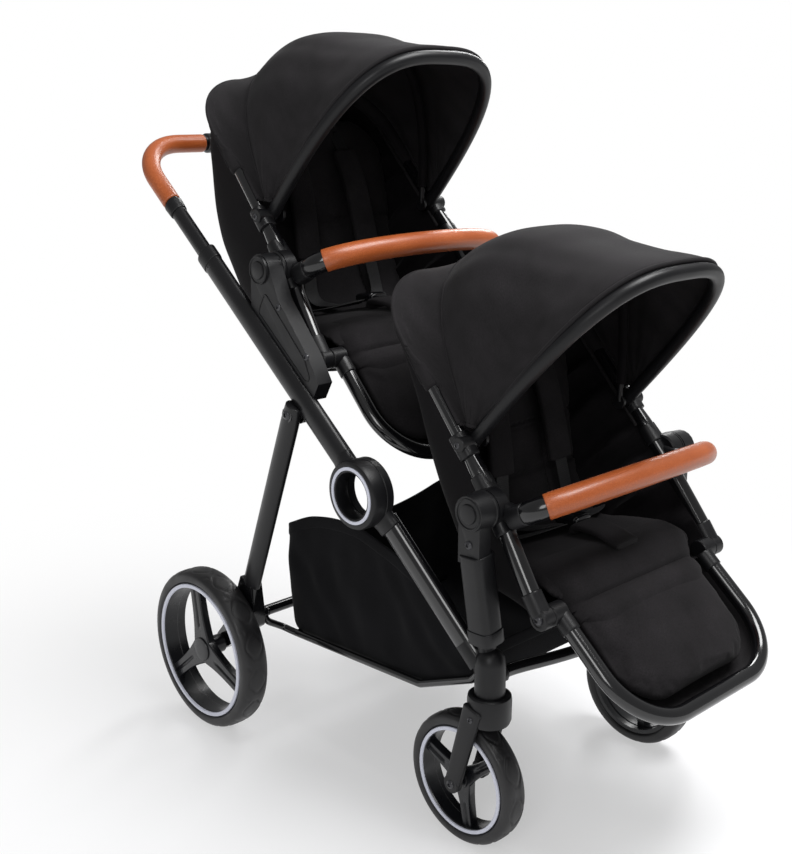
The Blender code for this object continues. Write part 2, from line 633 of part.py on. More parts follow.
def rear_legs():
    """Both rear legs with their axle stubs, the cross tube and the brake pedal."""
    carrier = JOINT["rear_leg_fold"]
    pin_at = from_hub(*LEG_PIVOT)
    foot = from_hub(*LEG_FOOT)
    cross = from_hub(*AXLE_TUBE_AT)
    eye = from_hub(*RAIL_REAR_PIVOT)
    for side, s in SIDES.items():
        shank = oval("t", lift(s * LEG_X, pin_at), lift(s * LEG_FOOT_X, foot), LEG_DEPTH, LEG_WIDTH)
        boss = rod("b", lift(s * (LUG_X[1] + 2 * GAP), pin_at), lift(s * (LEG_X + LEG_WIDTH / 2), pin_at), LEG_BOSS_R)
        end = REAR_AXLE
        bracket = extruded("k", rounded_outline([
            (foot.x - 0.014, foot.y + 0.012, 0), (foot.x + 0.014, foot.y + 0.020, 0),
            (cross.x + 0.016, cross.y + 0.004, 0.02), (end.x + 0.020, end.y + 0.006, 0.012),
            (end.x + 0.006, end.y - 0.020, 0.012), (cross.x - 0.020, cross.y - 0.018, 0.02),
            (eye.x - 0.014, eye.y - 0.014, 0.010), (eye.x - 0.014, eye.y + 0.014, 0.008)]),
            s * BRACKET_X[0], s * BRACKET_X[1])
        hub_face = REAR_WHEEL_X + REAR_TYRE_W / 2
        stub = rod("a", lift(s * (BRACKET_X[0] + 0.004), end), lift(s * (hub_face - 0.012), end), STUB_R)
        bolt = rod("o", lift(s * (BRACKET_X[0] + 0.004), eye), lift(s * (BRACKET_X[0] - EYE_W - 0.0035), eye), RAIL_PIN_R, sides=8)
        nut = rod("n", lift(s * (BRACKET_X[0] - EYE_W - 2 * GAP), eye), lift(s * (BRACKET_X[0] - EYE_W - 0.0035), eye),
                  EYE_R * 0.85, sides=8)
        leg = joined(shank, boss, bracket, stub, bolt, nut)
        hole = rod("h", lift(s * 0.2, pin_at), lift(s * 0.3, pin_at), LEG_PIN_R + PIVOT_GAP, sides=8)
        seat = rod("u", lift(s * (BRACKET_X[0] - 0.01), cross), lift(s * (BRACKET_X[0] + 0.006), cross), AXLE_TUBE_R + GAP)
        leg = drilled(leg, hole, seat)
        finish(leg, "rear_leg_" + side, "black_enamel", carrier)
    end_x = BRACKET_X[0] + 0.006 - GAP
    axle = rod("x", lift(-end_x, cross), lift(end_x, cross), AXLE_TUBE_R)
    finish(axle, "rear_axle", "black_enamel", carrier)
    half = PEDAL_W / 2
    sleeve = rod("s", lift(-half, cross), lift(half, cross), AXLE_TUBE_R + 0.005, sides=14)
    tread = extruded("t", [(cross.x + 0.008, cross.y - 0.006), (cross.x + PEDAL_REACH, cross.y + 0.010),
                           (cross.x + PEDAL_REACH, cross.y + 0.017), (cross.x + 0.008, cross.y + 0.008)], -half, half)
    pedal = drilled(joined(sleeve, tread), rod("b", lift(-0.1, cross), lift(0.1, cross), AXLE_TUBE_R + PIVOT_GAP))
    brake = JOINT["brake"]
    finish(pedal, "brake_pedal", "black_plastic", brake)


def wheel(name, at, s, radius, width, ring, hub_half, bore, blind, barrel=0.0065):
    """Tyre, three-spoke wheel and white ring about a cross axis; s points to the outside."""
    carrier = pivot("joint_" + name, at)
    steps = 20
    snug = radius / math.cos(math.pi / steps)
    ring_r, ring_w = ring
    rim_r = ring_r + 0.0005
    half = width / 2
    centre = Vector((0, at.y, at.z))
    a = lambda out: at.x + s * out
    tyre = turned("t", [(rim_r + GAP, a(-half * 0.86)), (rim_r + 0.006, a(-half)), (radius * 0.935, a(-half)),
                        (snug, a(-half * 0.62)), (snug, a(half * 0.62)), (radius * 0.935, a(half)),
                        (rim_r + 0.006, a(half)), (rim_r + GAP, a(half * 0.86))], centre, steps=steps)
    finish(tyre, name + "_tyre", "tyre_rubber", carrier)
    face = half * 0.86
    barrel_in = rim_r - barrel
    rim = turned("r", [(barrel_in, a(-face)), (rim_r, a(-face)), (rim_r, a(face)), (barrel_in, a(face))],
                 centre, steps=steps)
    hub_r = barrel_in * 0.27
    out_face = hub_half[1]
    hub = rod("h", (a(-hub_half[0]), at.y, at.z), (a(out_face), at.y, at.z), hub_r * 0.8, hub_r)
    rim = joined(rim, hub)
    for k in range(3):
        angle = math.radians(100 + 120 * k)
        spoke = box("s", (-0.004, -hub_r * 0.42, hub_r * 0.4), (0.004, hub_r * 0.42, barrel_in + barrel * 0.5))
        groove = box("g", (0.0015, -hub_r * 0.09, hub_r * 1.15), (0.02, hub_r * 0.09, barrel_in - 0.003))
        place = Matrix.Translation(Vector((a(min(out_face, face) - 0.0045), at.y, at.z))) @ Matrix.Rotation(angle - math.pi / 2, 4, "X")
        if s < 0:
            place = place @ Matrix.Rotation(math.pi, 4, "Z")
        for piece in (spoke, groove):
            piece.data.transform(place)
        rim = drilled(joined(rim, spoke), groove)
    far = out_face - 0.0045 if blind else out_face + 0.01
    rim = drilled(rim, rod("b", (a(-hub_half[0] - 0.01), at.y, at.z), (a(far), at.y, at.z), bore))
    finish(rim, name + "_wheel", "black_plastic", carrier)
    trim = turned("w", [(ring_r - ring_w, a(face + GAP)), (ring_r, a(face + GAP)), (ring_r, a(half)),
                        (ring_r - ring_w, a(half))], centre, steps=steps)
    finish(trim, name + "_ring", "white_trim", carrier)
    return carrier


def caster(side, s):
    """The swivelling fork with its wheel."""
    axis = Vector((s * CASTER_X, CASTER_Y, 0))
    carrier = pivot("joint_caster_" + side, Vector((axis.x, axis.y, HOUSING_FOOT)))
    cup_in = HOUSING_R + PIVOT_GAP
    floor = HOUSING_FOOT - GAP
    fork = turned("f", [(0, HOUSING_FOOT + STEM_LENGTH), (STEM_R, HOUSING_FOOT + STEM_LENGTH), (STEM_R, floor),
                        (cup_in, floor), (cup_in, CROWN_TOP), (CROWN_R, CROWN_TOP), (CROWN_R, CROWN_FOOT + 0.005),
                        (CROWN_R - 0.005, CROWN_FOOT), (0, CROWN_FOOT)], axis, "Z", 16)
    end = FRONT_AXLE
    for k in (-1, 1):
        near = axis.x + k * FORK_INSIDE
        far = axis.x + k * (FORK_INSIDE + FORK_LEG)
        arc = [(end.x + FORK_END_R * math.cos(t), end.y + FORK_END_R * math.sin(t))
               for t in (math.radians(200 + 200 * i / 5) for i in range(6))]
        leg = extruded("l", [(CASTER_Y - 0.019, CROWN_TOP - 0.008), (CASTER_Y - 0.021, CROWN_FOOT)] + arc
                       + [(CASTER_Y + 0.020, CROWN_FOOT), (CASTER_Y + 0.019, CROWN_TOP - 0.008)], near, far)
        core = rod("c", (axis.x, CASTER_Y, floor), (axis.x, CASTER_Y, CROWN_TOP + 0.01), cup_in, sides=14)
        leg = drilled(leg, core)
        cap = rod("b", (far - k * 0.002, end.x, end.y), (far + k * 0.0025, end.x, end.y), FORK_END_R * 0.6)
        fork = joined(fork, leg, cap)
    fork = joined(fork, rod("a", (axis.x - FORK_INSIDE - 0.004, end.x, end.y),
                            (axis.x + FORK_INSIDE + 0.004, end.x, end.y), FRONT_BOLT_R))
    finish(fork, "caster_fork_" + side, "black_plastic", carrier)
    hub_half = FORK_INSIDE - GAP
    wheel("front_%s" % side, Vector((axis.x, end.x, end.y)), s, FRONT_WHEEL_R, FRONT_TYRE_W, FRONT_RING,
          (hub_half, hub_half), FRONT_BOLT_R + PIVOT_GAP, False)


def basket():
    """The load basket and the wire frame that carries it."""
    carrier = JOINT["basket_frame_fold"]
    front = from_hub(*RAIL_FRONT_PIVOT)
    rear = from_hub(*RAIL_REAR_PIVOT)
    floor = [Vector((HUB_Y - 0.1602, 0.236)), Vector((HUB_Y - 0.0552, 0.190)), Vector((HUB_Y + 0.2448, 0.170))]
    drop = RAIL_R + GAP
    below = [floor[0] + Vector((-0.004, -drop)), floor[1] + Vector((0, -drop * 1.06)), floor[2] + Vector((0, -drop))]
    frame = None
    for s in SIDES.values():
        path = [lift(s * RAIL_X, front)] + [lift(s * RAIL_X, p) for p in below]
        path += [lift(s * (RAIL_X + 0.004), below[2] + Vector((0.018, 0.004))),
                 lift(s * (BRACKET_X[0] - EYE_W / 2 - GAP), rear - Vector((0.010, 0.012))),
                 lift(s * (BRACKET_X[0] - EYE_W / 2 - GAP), rear)]
        rail = tube("r", path[:1] + filleted(path[1:-1], 0.012, 2) + path[-1:], RAIL_R, resolution=1)
        eye = rod("e", lift(s * (RAIL_X - EYE_W / 2), front), lift(s * (RAIL_X + EYE_W / 2), front), EYE_R)
        far_eye = rod("e", lift(s * (BRACKET_X[0] - EYE_W - GAP), rear), lift(s * (BRACKET_X[0] - GAP), rear), EYE_R)
        rail = joined(rail, eye, far_eye)
        rail = drilled(rail, rod("h", lift(s * 0.17, front), lift(s * 0.2, front), RAIL_PIN_R + PIVOT_GAP, sides=8),
                       rod("h", lift(s * 0.2, rear), lift(s * 0.24, rear), RAIL_PIN_R + OPEN_PIVOT_GAP, sides=8))
        frame = rail if frame is None else joined(frame, rail)
    for p in (below[1], below[2]):
        frame = joined(frame, tube("c", [lift(-RAIL_X, p), lift(RAIL_X, p)], RAIL_R * 0.8, resolution=1))
    finish(frame, "basket_frame", "black_enamel", carrier)
    outline = [floor[0], floor[1], floor[2], Vector((HUB_Y + BASKET_BACK, 0.358)), Vector((HUB_Y + 0.185, 0.385)),
               Vector((HUB_Y + 0.115, 0.396)), Vector((HUB_Y + 0.055, 0.392)), Vector((HUB_Y - 0.06, 0.352)),
               Vector((HUB_Y + BASKET_FRONT, 0.283))]
    shell = extruded("b", [tuple(p) for p in outline], -BASKET_HALF, BASKET_HALF)
    wall = BASKET_WALL
    inside = [floor[0] + Vector((0.004, wall * 1.2)), floor[1] + Vector((0, wall)), floor[2] + Vector((-wall, wall)),
              Vector((HUB_Y + BASKET_BACK - wall, 0.45)), Vector((HUB_Y + BASKET_FRONT + wall, 0.45))]
    room = extruded("i", [tuple(p) for p in inside], -BASKET_HALF + wall, BASKET_HALF - wall)
    dip_from = HUB_Y + BASKET_BACK - 0.042
    dip_to = HUB_Y + BASKET_BACK + 0.058
    dip = turned("d", [(0, dip_from), (DIP_R, dip_from), (DIP_R, dip_to), (0, dip_to)], Vector((0, 0, 0)), "X", 40)
    dip.data.transform(Matrix.Rotation(math.pi / 2, 4, "Z"))
    dip.data.transform(Matrix.Translation(Vector((0, 0, DIP_FLOOR + DIP_R))))
    shell = drilled(shell, room, dip)
    finish(shell, "basket", "charcoal_fabric", carrier)


# Seats
BACK_DIR = turn((1, 0), BACK_ANGLE)
BACK_NORMAL = Vector((BACK_DIR.y, -BACK_DIR.x))     # towards the rear, square to the back
RIM_DROP = FRAME_R + GAP
TUB_SHAPE = {
    # Outline of the tub behind its rim, from the top of the back down to the front lip
    "rear_seat": ([(0.246, 0.240), (0.228, 0.190), (0.224, 0.150), (0.229, 0.100), (0.229, 0.060), (0.219, 0.018),
                   (0.198, -0.020), (0.172, -0.068), (0.137, -0.117), (0.100, -0.146), (0.060, -0.155)], 0.5),
    "front_seat": ([(0.240, 0.238), (0.208, 0.170), (0.192, 0.110), (0.182, 0.050), (0.172, 0.000), (0.152, -0.055),
                    (0.124, -0.110), (0.095, -0.143), (0.060, -0.155)], 1.2),
}
TUB_BASE_FRONT = (-0.060, -0.155)
TUB_LIP_BACK = 0.135        # seat hub to the front lip of the tub, along the side tube
PAD_PATH = [(-0.083, -0.1002), (-0.066, -0.0932), (-0.030, -0.098), (0.050, -0.106), (0.086, -0.099), (0.112, -0.068),
            (0.131, -0.020), (0.144, 0.035), (0.156, 0.095), (0.174, 0.160), (0.203, 0.218)]


def superellipse(w, h, angle):
    c, s = math.cos(angle), math.sin(angle)
    return math.copysign(w * abs(c) ** (2 / 3), c), h * abs(s) ** (2 / 3)


def inset(outline, distance):
    """A clockwise or anticlockwise outline with every edge moved inwards."""
    spots = [Vector(p) for p in outline]
    count = len(spots)
    area = sum(a.x * b.y - b.x * a.y for a, b in zip(spots, spots[1:] + spots[:1]))
    sign = 1 if area > 0 else -1
    made = []
    for i, spot in enumerate(spots):
        into = (spot - spots[i - 1]).normalized()
        out = (spots[(i + 1) % count] - spot).normalized()
        first = Vector((-into.y, into.x)) * sign
        second = Vector((-out.y, out.x)) * sign
        made.append(spot + (first + second) * (distance / (1 + first.dot(second))))
    return made


def side_tube_point(hub, reach, behind=0.0):
    """A point along the side tube from a seat's hub towards its calf hinge."""
    way = Vector(CALF_HINGE).normalized()
    return hub + way * reach + Vector((-way.y, way.x)) * behind


def tub_half(depth, taper):
    return (BACK_HALF[0] - 0.002) * (1 - taper * depth)


def tub_body(seat, hub, shrink):
    """The tub's outside, or with shrink the room inside it, which runs out past the rim."""
    back, taper = TUB_SHAPE[seat]
    top = hub + BACK_DIR * BACK_LENGTH + BACK_NORMAL * RIM_DROP
    bend = hub + BACK_NORMAL * RIM_DROP
    lip = side_tube_point(hub, TUB_LIP_BACK, RIM_DROP)
    rest = [hub + Vector(p) for p in back] + [hub + Vector(TUB_BASE_FRONT)]
    outline = [lip, bend, top] + rest
    if shrink:
        outline = inset(outline, shrink)
        clear = BACK_NORMAL * -0.06
        outline = [p + clear for p in outline[:3]] + outline[2:] + outline[:1]
    side = extruded("side", [tuple(p) for p in outline], -0.25, 0.25)
    foot = -0.21 + shrink
    corner = BACK_CORNER_R - shrink
    wide, narrow, high = (v - shrink for v in (tub_half(0, taper), BACK_HALF[1] - 0.002, BACK_LENGTH))
    face = rounded_outline([(-wide, foot, 0), (wide, foot, 0), (wide, 0, 0), (narrow, high, corner), (-narrow, high, corner),
                            (-wide, 0, 0)], 5)
    start = -0.07 if shrink else 0.0
    plan = extruded("plan", face, start, 0.27)
    for vertex in plan.data.vertices:
        vertex.co.y *= 1 - taper * vertex.co.x
    lay = Matrix(((0, 1, 0, 0), (BACK_NORMAL.x, 0, BACK_DIR.x, hub.x), (BACK_NORMAL.y, 0, BACK_DIR.y, hub.y), (0, 0, 0, 1)))
    plan.data.transform(lay)
    bm = bmesh.new()
    bm.from_mesh(plan.data)
    bmesh.ops.recalc_face_normals(bm, faces=bm.faces)
    bm.to_mesh(plan.data)
    bm.free()
    return combine(side, plan, "INTERSECT")


def soft_slab(name, path, half_at, thick, crown, seams, across=9):
    """A cushion along a side-plane path: crowned, drawn in at the sides, with stitched channels."""
    count = len(path)
    bm = bmesh.new()
    bmesh.ops.create_grid(bm, x_segments=across - 1, y_segments=count - 1, size=1.0)
    bm.verts.ensure_lookup_table()
    runs = [0.0]
    for a, b in zip(path, path[1:]):
        runs.append(runs[-1] + (b - a).length)
    order = sorted(bm.verts, key=lambda v: (round(v.co.y, 4), round(v.co.x, 4)))
    for i in range(count):
        ahead = (path[min(i + 1, count - 1)] - path[max(i - 1, 0)]).normalized()
        normal = Vector((-ahead.y, ahead.x))
        end = min(runs[i], runs[-1] - runs[i])
        for j in range(across):
            vertex = order[i * across + j]
            share = vertex.co.x
            puff = crown * (1 - abs(share) ** 3) * min(1.0, 0.35 + end / 0.05)
            for seam in seams:
                puff -= crown * 0.7 * math.exp(-((runs[i] - seam * runs[-1]) / 0.012) ** 2)
            vertex.co = lift(share * half_at(i), path[i] + normal * puff)
    slab = from_bmesh(name, bm)
    if slab.data.polygons[0].normal.z < 0:
        slab.data.flip_normals()
    solid = slab.modifiers.new("thickness", "SOLIDIFY")
    solid.thickness = thick
    solid.offset = -1
    return baked(slab)


def resampled(points, count):
    """Evenly spaced points along a path, rounded by a Catmull-Rom curve."""
    spots = [Vector(p) for p in points]
    fine = []
    for i in range(len(spots) - 1):
        a, b, c, d = (spots[max(0, min(len(spots) - 1, i + k))] for k in (-1, 0, 1, 2))
        for k in range(12):
            t = k / 12
            fine.append(0.5 * (2 * b + (c - a) * t + (2 * a - 5 * b + 4 * c - d) * t * t
                               + (3 * b - a - 3 * c + d) * t ** 3))
    fine.append(spots[-1])
    runs = [0.0]
    for a, b in zip(fine, fine[1:]):
        runs.append(runs[-1] + (b - a).length)
    made = []
    for k in range(count):
        goal = runs[-1] * k / (count - 1)
        i = max(j for j in range(len(runs)) if runs[j] <= goal + 1e-9)
        i = min(i, len(fine) - 2)
        made.append(fine[i].lerp(fine[i + 1], (goal - runs[i]) / max(runs[i + 1] - runs[i], 1e-9)))
    return made


def build_seat(seat, hub, parent):
    """One seat unit: frame, tub, pad, calf rest, hood and bumper bar."""
    def joint(name, at, above):
        made = pivot("joint_%s_%s" % (seat, name), at)
        made.parent = above
        base = Vector((0, 0, 0))
        while above is not None:
            base += above.location
            above = above.parent
        made.location = at - base
        return made, at

    def put(piece, name, material, carrier_at):
        carrier, at = carrier_at
        finish(piece, "%s_%s" % (seat, name), material)
        piece.data.transform(Matrix.Translation(-at))
        piece.parent = carrier

    tilt = joint("tilt", lift(0, hub), parent)
    hinge = hub + Vector(CALF_HINGE)
    hood_at = hub + Vector(HOOD_PIVOT)
    calf = joint("calf", lift(0, hinge), tilt[0])
    front_joint = joint("hood_front", lift(0, hood_at), tilt[0])
    mid_joint = joint("hood_mid", lift(0, hood_at), tilt[0])
    socket = hub + Vector(BUMPER_SOCKET)
    bumper_joint = joint("bumper", lift(0, socket), tilt[0])

    # Frame: side tubes and back in one bent tube, with hubs, sockets, knuckles and pins
    plane = Matrix.Translation(lift(0, hub)) @ Matrix.Rotation(BACK_ANGLE, 4, "X")
    wide, high = BACK_HALF
    hinge_x = HOUSING_INNER_X + FRAME_R
    loop = filleted([(-wide, 0, 0), (-high, BACK_LENGTH, 0), (high, BACK_LENGTH, 0), (wide, 0, 0)], BACK_CORNER_R, 4)
    beside = hinge - Vector(CALF_HINGE).normalized() * KNUCKLE_R * 1.8
    path = [lift(-hinge_x, hinge), lift(-hinge_x, beside)] + [plane @ p for p in loop]
    path += [lift(hinge_x, beside), lift(hinge_x, hinge)]
    frame = tube("frame", path, FRAME_R)
    bar_way = turn((1, 0), math.pi - BUMPER_RISE)
    pins = []
    for s in SIDES.values():
        barrel_r = TONGUE_R + GAP + 0.005
        frame = joined(
            frame, rod("h", lift(s * HOUSING_INNER_X, hub), lift(s * SEAT_OUTER_X, hub), SEAT_HUB_R, sides=14),
            rod("s", lift(s * BUMPER_X, socket - bar_way * 0.016), lift(s * BUMPER_X, socket + bar_way * 0.012), barrel_r),
            rod("k", lift(s * HOUSING_INNER_X, hinge), lift(s * (hinge_x + FRAME_R), hinge), KNUCKLE_R))
        frame = drilled(
            frame, rod("b", lift(s * (SEAT_OUTER_X - 0.016), hub), lift(s * (SEAT_OUTER_X + 0.01), hub), SEAT_PIN_R + PIVOT_GAP),
            rod("t", lift(s * BUMPER_X, socket - bar_way * 0.0035), lift(s * BUMPER_X, socket + bar_way * 0.03), TONGUE_R + GAP))
        ear_x = MID_BOW[0] - MID_BOW[3]
        frame = joined(
            frame, rod("p", lift(s * (hinge_x - 0.002), hinge), lift(s * (HOUSING_INNER_X - 0.0215), hinge), CALF_PIN_R, sides=8),
            rod("q", lift(s * (wide - 0.004), hood_at), lift(s * (ear_x - 0.003), hood_at), HOOD_PIN_R, sides=8),
            rod("r", lift(s * (ear_x - GAP), hood_at), lift(s * (ear_x - 0.003), hood_at), HOOD_PIN_R * 1.9, sides=8))
    put(frame, "frame", "black_enamel", tilt)

    tub = drilled(tub_body(seat, hub, 0.0), tub_body(seat, hub, TUB_WALL))
    put(tub, "tub", "charcoal_fabric", tilt)

    taper = TUB_SHAPE[seat][1]
    pad_path = [hub + p for p in resampled(PAD_PATH, 14)]
    reach = [max(0.0, (p - hub).dot(BACK_NORMAL)) for p in pad_path]
    edge = [1 - 0.28 * max(0.0, 1 - (len(pad_path) - 1 - i) / 2.0) ** 2 - 0.06 * (i == 0) for i in range(len(pad_path))]
    pad = soft_slab("pad", pad_path, lambda i: edge[i] * min(PAD_HALF, tub_half(reach[i] + PAD_T, taper) - TUB_WALL - 0.008),
                    PAD_T * 0.7, PAD_T * 0.35, (0.30, 0.66))
    put(pad, "pad", "charcoal_lining", tilt)

    # Calf rest
    drop = CALF_DROP[seat]
    along = turn((1, 0), math.pi + drop)
    calf_plane = Matrix.Translation(lift(0, hinge)) @ Matrix.Rotation(math.pi + drop, 4, "X")
    u_path = filleted([(-CALF_HALF, 0, 0), (-CALF_HALF, CALF_LENGTH, 0), (CALF_HALF, CALF_LENGTH, 0), (CALF_HALF, 0, 0)],
                      CALF_CORNER_R, 4)
    calf_frame = tube("calf", [calf_plane @ p for p in u_path], CALF_TUBE_R, resolution=2)
    knuckle_in = CALF_HALF - CALF_TUBE_R + 0.002
    for s in SIDES.values():
        calf_frame = joined(calf_frame, rod("k", lift(s * knuckle_in, hinge), lift(s * (HOUSING_INNER_X - PIVOT_GAP), hinge), KNUCKLE_R))
    for s in SIDES.values():
        calf_frame = drilled(calf_frame, rod("b", lift(s * (HOUSING_INNER_X - 0.022), hinge), lift(s * 0.25, hinge),
                                             CALF_PIN_R + PIVOT_GAP, sides=8))
    put(calf_frame, "calf_frame", "black_enamel", calf)
    inner_r = CALF_CORNER_R - CALF_TUBE_R - 0.001
    rows = [0.024 + (CALF_LENGTH - CALF_TUBE_R - 0.001 - 0.024) * k / 9 for k in range(10)]
    turn_at = CALF_LENGTH - CALF_CORNER_R

    def calf_half(i):
        past = max(0.0, rows[i] - turn_at)
        return CALF_HALF - CALF_CORNER_R + math.sqrt(max(inner_r ** 2 - past ** 2, 0.0)) - 0.001

    calf_pad = soft_slab("calf_pad", [hinge + along * r for r in rows[::-1]], lambda i: calf_half(9 - i), 0.014, 0.007, (0.5,), 7)
    put(calf_pad, "calf_pad", "charcoal_fabric", calf)

    # Hood: two bows that turn on one pin a side, and the cloth over them
    for (w, h, angle, r), name, carrier, ear in ((FRONT_BOW, "hood_front_bow", front_joint, FRONT_BOW[0] + 0.0005),
                                                 (MID_BOW, "hood_mid_bow", mid_joint, MID_BOW[0] + MID_BOW[3] - EAR_T)):
        way = turn((1, 0), angle)
        spots = [superellipse(w, h, math.pi * k / 12) for k in range(1, 12)]
        flat = [(w, 0.006)] + spots + [(-w, 0.006)]
        bow = tube("bow", [lift(x, hood_at + way * up) for x, up in flat], r, resolution=1)
        for s in SIDES.values():
            bow = joined(bow, rod("e", lift(s * ear, hood_at), lift(s * (ear + EAR_T), hood_at), EAR_R))
        for s in SIDES.values():
            bow = drilled(bow, rod("b", lift(s * 0.13, hood_at), lift(s * 0.19, hood_at), HOOD_PIN_R + PIVOT_GAP, sides=8))
        put(bow, name, "black_enamel", carrier)

    hood = hood_cloth(hood_at)
    put(hood, "hood_fabric", "charcoal_fabric", tilt)

    # Bumper bar
    bar_plane = Matrix.Translation(lift(0, socket)) @ Matrix.Rotation(math.pi - BUMPER_RISE, 4, "X")
    face = 0.012 + GAP
    straight = face + 0.005
    arch = [(BUMPER_X, face, 0)]
    for k in range(11):
        t = math.pi * k / 10
        c, q = math.cos(t), math.sin(t)
        arch.append((math.copysign(BUMPER_X * abs(c) ** 0.8, c), straight + (BUMPER_REACH - straight) * q ** 0.8, 0))
    arch.append((-BUMPER_X, face, 0))
    bar = tube("bar", [bar_plane @ Vector(p) for p in arch], BUMPER_R)
    for s in SIDES.values():
        bar = joined(bar, rod("t", bar_plane @ Vector((s * BUMPER_X, 0.012 - TONGUE_IN, 0)),
                              bar_plane @ Vector((s * BUMPER_X, face + 0.008, 0)), TONGUE_R))
    put(bar, "bumper_bar", "tan_leather", bumper_joint)


def hood_cloth(hood_at):
    """The hood's cloth: a shell from the back tube over the bows to the front rim."""
    steps, across = 8, 14
    clear = FRONT_BOW[3] + 5 * GAP
    rear = (BACK_HALF[1] + 0.002, (hood_top_reach() + 0.006), BACK_ANGLE + math.radians(0.5))
    front = (FRONT_BOW[0] + clear, FRONT_BOW[1] + clear, FRONT_BOW[2])
    crest = HOOD_CREST
    bm = bmesh.new()
    bmesh.ops.create_grid(bm, x_segments=across, y_segments=steps, size=1.0)
    order = sorted(bm.verts, key=lambda v: (round(v.co.y, 4), round(v.co.x, 4)))
    low = 0.050
    for i in range(steps + 1):
        f = i / steps
        angle = rear[2] + (front[2] - rear[2]) * f
        knee = (crest[2] - rear[2]) / (front[2] - rear[2])
        a, b, t = (rear, crest, f / knee) if f < knee else (crest, front, (f - knee) / (1 - knee))
        w, h = (a[k] + (b[k] - a[k]) * t for k in (0, 1))
        sag = 0.006 * math.sin(math.pi * t)
        start = math.asin((low / h) ** 1.5)
        for j in range(across + 1):
            t = start + (math.pi - 2 * start) * j / across
            x, up = superellipse(w - sag * 0.5, h - sag, t)
            shift = (1 - f) * math.asin(min(1.0, (FRAME_R + 0.0045) / up))
            order[i * (across + 1) + j].co = lift(-x, hood_at + turn((1, 0), angle + shift) * up)
    shell = from_bmesh("hood", bm)
    top = max(shell.data.polygons, key=lambda p: p.center.z)
    if top.normal.z < 0:
        shell.data.flip_normals()
    solid = shell.modifiers.new("thickness", "SOLIDIFY")
    solid.thickness = HOOD_THICK
    solid.offset = 1
    return baked(shell)


def hood_top_reach():
    """Hood pivot to the top bar of the back."""
    return (BACK_DIR * BACK_LENGTH - Vector(HOOD_PIVOT)).length


def seat_arm(side, s, hub):
    """The rear seat's carrying arm, bolted along the top of the upper tube."""
    carrier = JOINT["chassis_fold"]
    edge = TUBE_TOP + GAP
    rel = hub - HUB
    c = (rel.dot(UPPER_DIR), rel.dot(turn((0, 1), SLOPE)))
    disc = SEAT_HUB_R - 0.002
    low = [(c[0] - 0.205, edge), (c[0] - 0.022, edge)]
    arc = [(c[0] + disc * math.cos(t), c[1] + disc * math.sin(t)) for t in (math.radians(-60 + 190 * k / 8) for k in range(9))]
    high = [(c[0] - 0.060, c[1] - 0.004), (c[0] - 0.160, c[1] - 0.020), (c[0] - 0.200, c[1] - 0.034)]
    inner = SEAT_OUTER_X + GAP
    plate = extruded("a", [tuple(on_slope(*p)) for p in low + arc + high], s * inner, s * (inner + 0.026))
    knob = rod("d", lift(s * (inner + 0.001), hub), lift(s * (inner + 0.029), hub), disc, disc * 0.9, sides=18)
    pin = rod("p", lift(s * (inner + 0.002), hub), lift(s * (SEAT_OUTER_X - 0.0155), hub), SEAT_PIN_R)
    finish(joined(plate, knob, pin), "seat_arm_" + side, "black_plastic", carrier)


def seat_post(side, s, hub):
    """The front seat's adaptor, standing on the dome of the caster housing."""
    inner = SEAT_OUTER_X + GAP
    knob = rod("d", lift(s * inner, hub), lift(s * (inner + 0.026), hub), SEAT_HUB_R, SEAT_HUB_R * 0.92, sides=18)
    pin = rod("p", lift(s * (inner + 0.002), hub), lift(s * (SEAT_OUTER_X - 0.0155), hub), SEAT_PIN_R)
    neck = extruded("n", [(hub.x - 0.017, hub.y), (hub.x + 0.021, hub.y), (hub.x + 0.021, hub.y - 0.072),
                          (hub.x - 0.017, hub.y - 0.072)], s * (inner + 0.0007), s * (inner + 0.022))
    foot_y = (hub.x + CASTER_Y) / 2
    cone = rod("c", (s * (inner + 0.0045), hub.x + 0.002, hub.y - 0.064),
               (s * (CASTER_X + 0.001), foot_y - 0.001, HOUSING_TOP - 0.010), 0.0185, 0.0120, 20)
    post = joined(knob, pin, neck, cone)
    dome = [((HOUSING_R + GAP) * math.cos(t), HOUSING_SHOULDER + (HOUSING_TOP - HOUSING_SHOULDER + 2 * GAP) * math.sin(t))
            for t in (math.radians(d) for d in (0, 22, 45, 68))]
    cut = turned("k", [(0, HOUSING_TOP + 2 * GAP)] + dome[::-1] + [(HOUSING_R + GAP, HOUSING_FOOT), (0, HOUSING_FOOT)],
                 Vector((s * CASTER_X, CASTER_Y, 0)), "Z", 16)
    finish(drilled(post, cut, housing_socket(s, GAP)), "seat_post_" + side, "black_plastic")


# Assembly
SEAT_HUB = {name: from_hub(*offset) for name, offset in SEATS.items()}
for side_name, side_sign in SIDES.items():
    ring_hub_pieces(side_name, side_sign)
    caster_housing(side_name, side_sign)
    caster(side_name, side_sign)
    wheel("rear_" + side_name, lift(side_sign * REAR_WHEEL_X, REAR_AXLE), side_sign, REAR_WHEEL_R, REAR_TYRE_W,
          REAR_RING, (REAR_WHEEL_X - BRACKET_X[1] - GAP, REAR_TYRE_W / 2 - 0.004), STUB_R + PIVOT_GAP, True)
    seat_arm(side_name, side_sign, SEAT_HUB["rear_seat"])
    seat_post(side_name, side_sign, SEAT_HUB["front_seat"])
front_cross_bar()
handle()
rear_legs()
basket()
build_seat("rear_seat", SEAT_HUB["rear_seat"], JOINT["chassis_fold"])
build_seat("front_seat", SEAT_HUB["front_seat"], None)
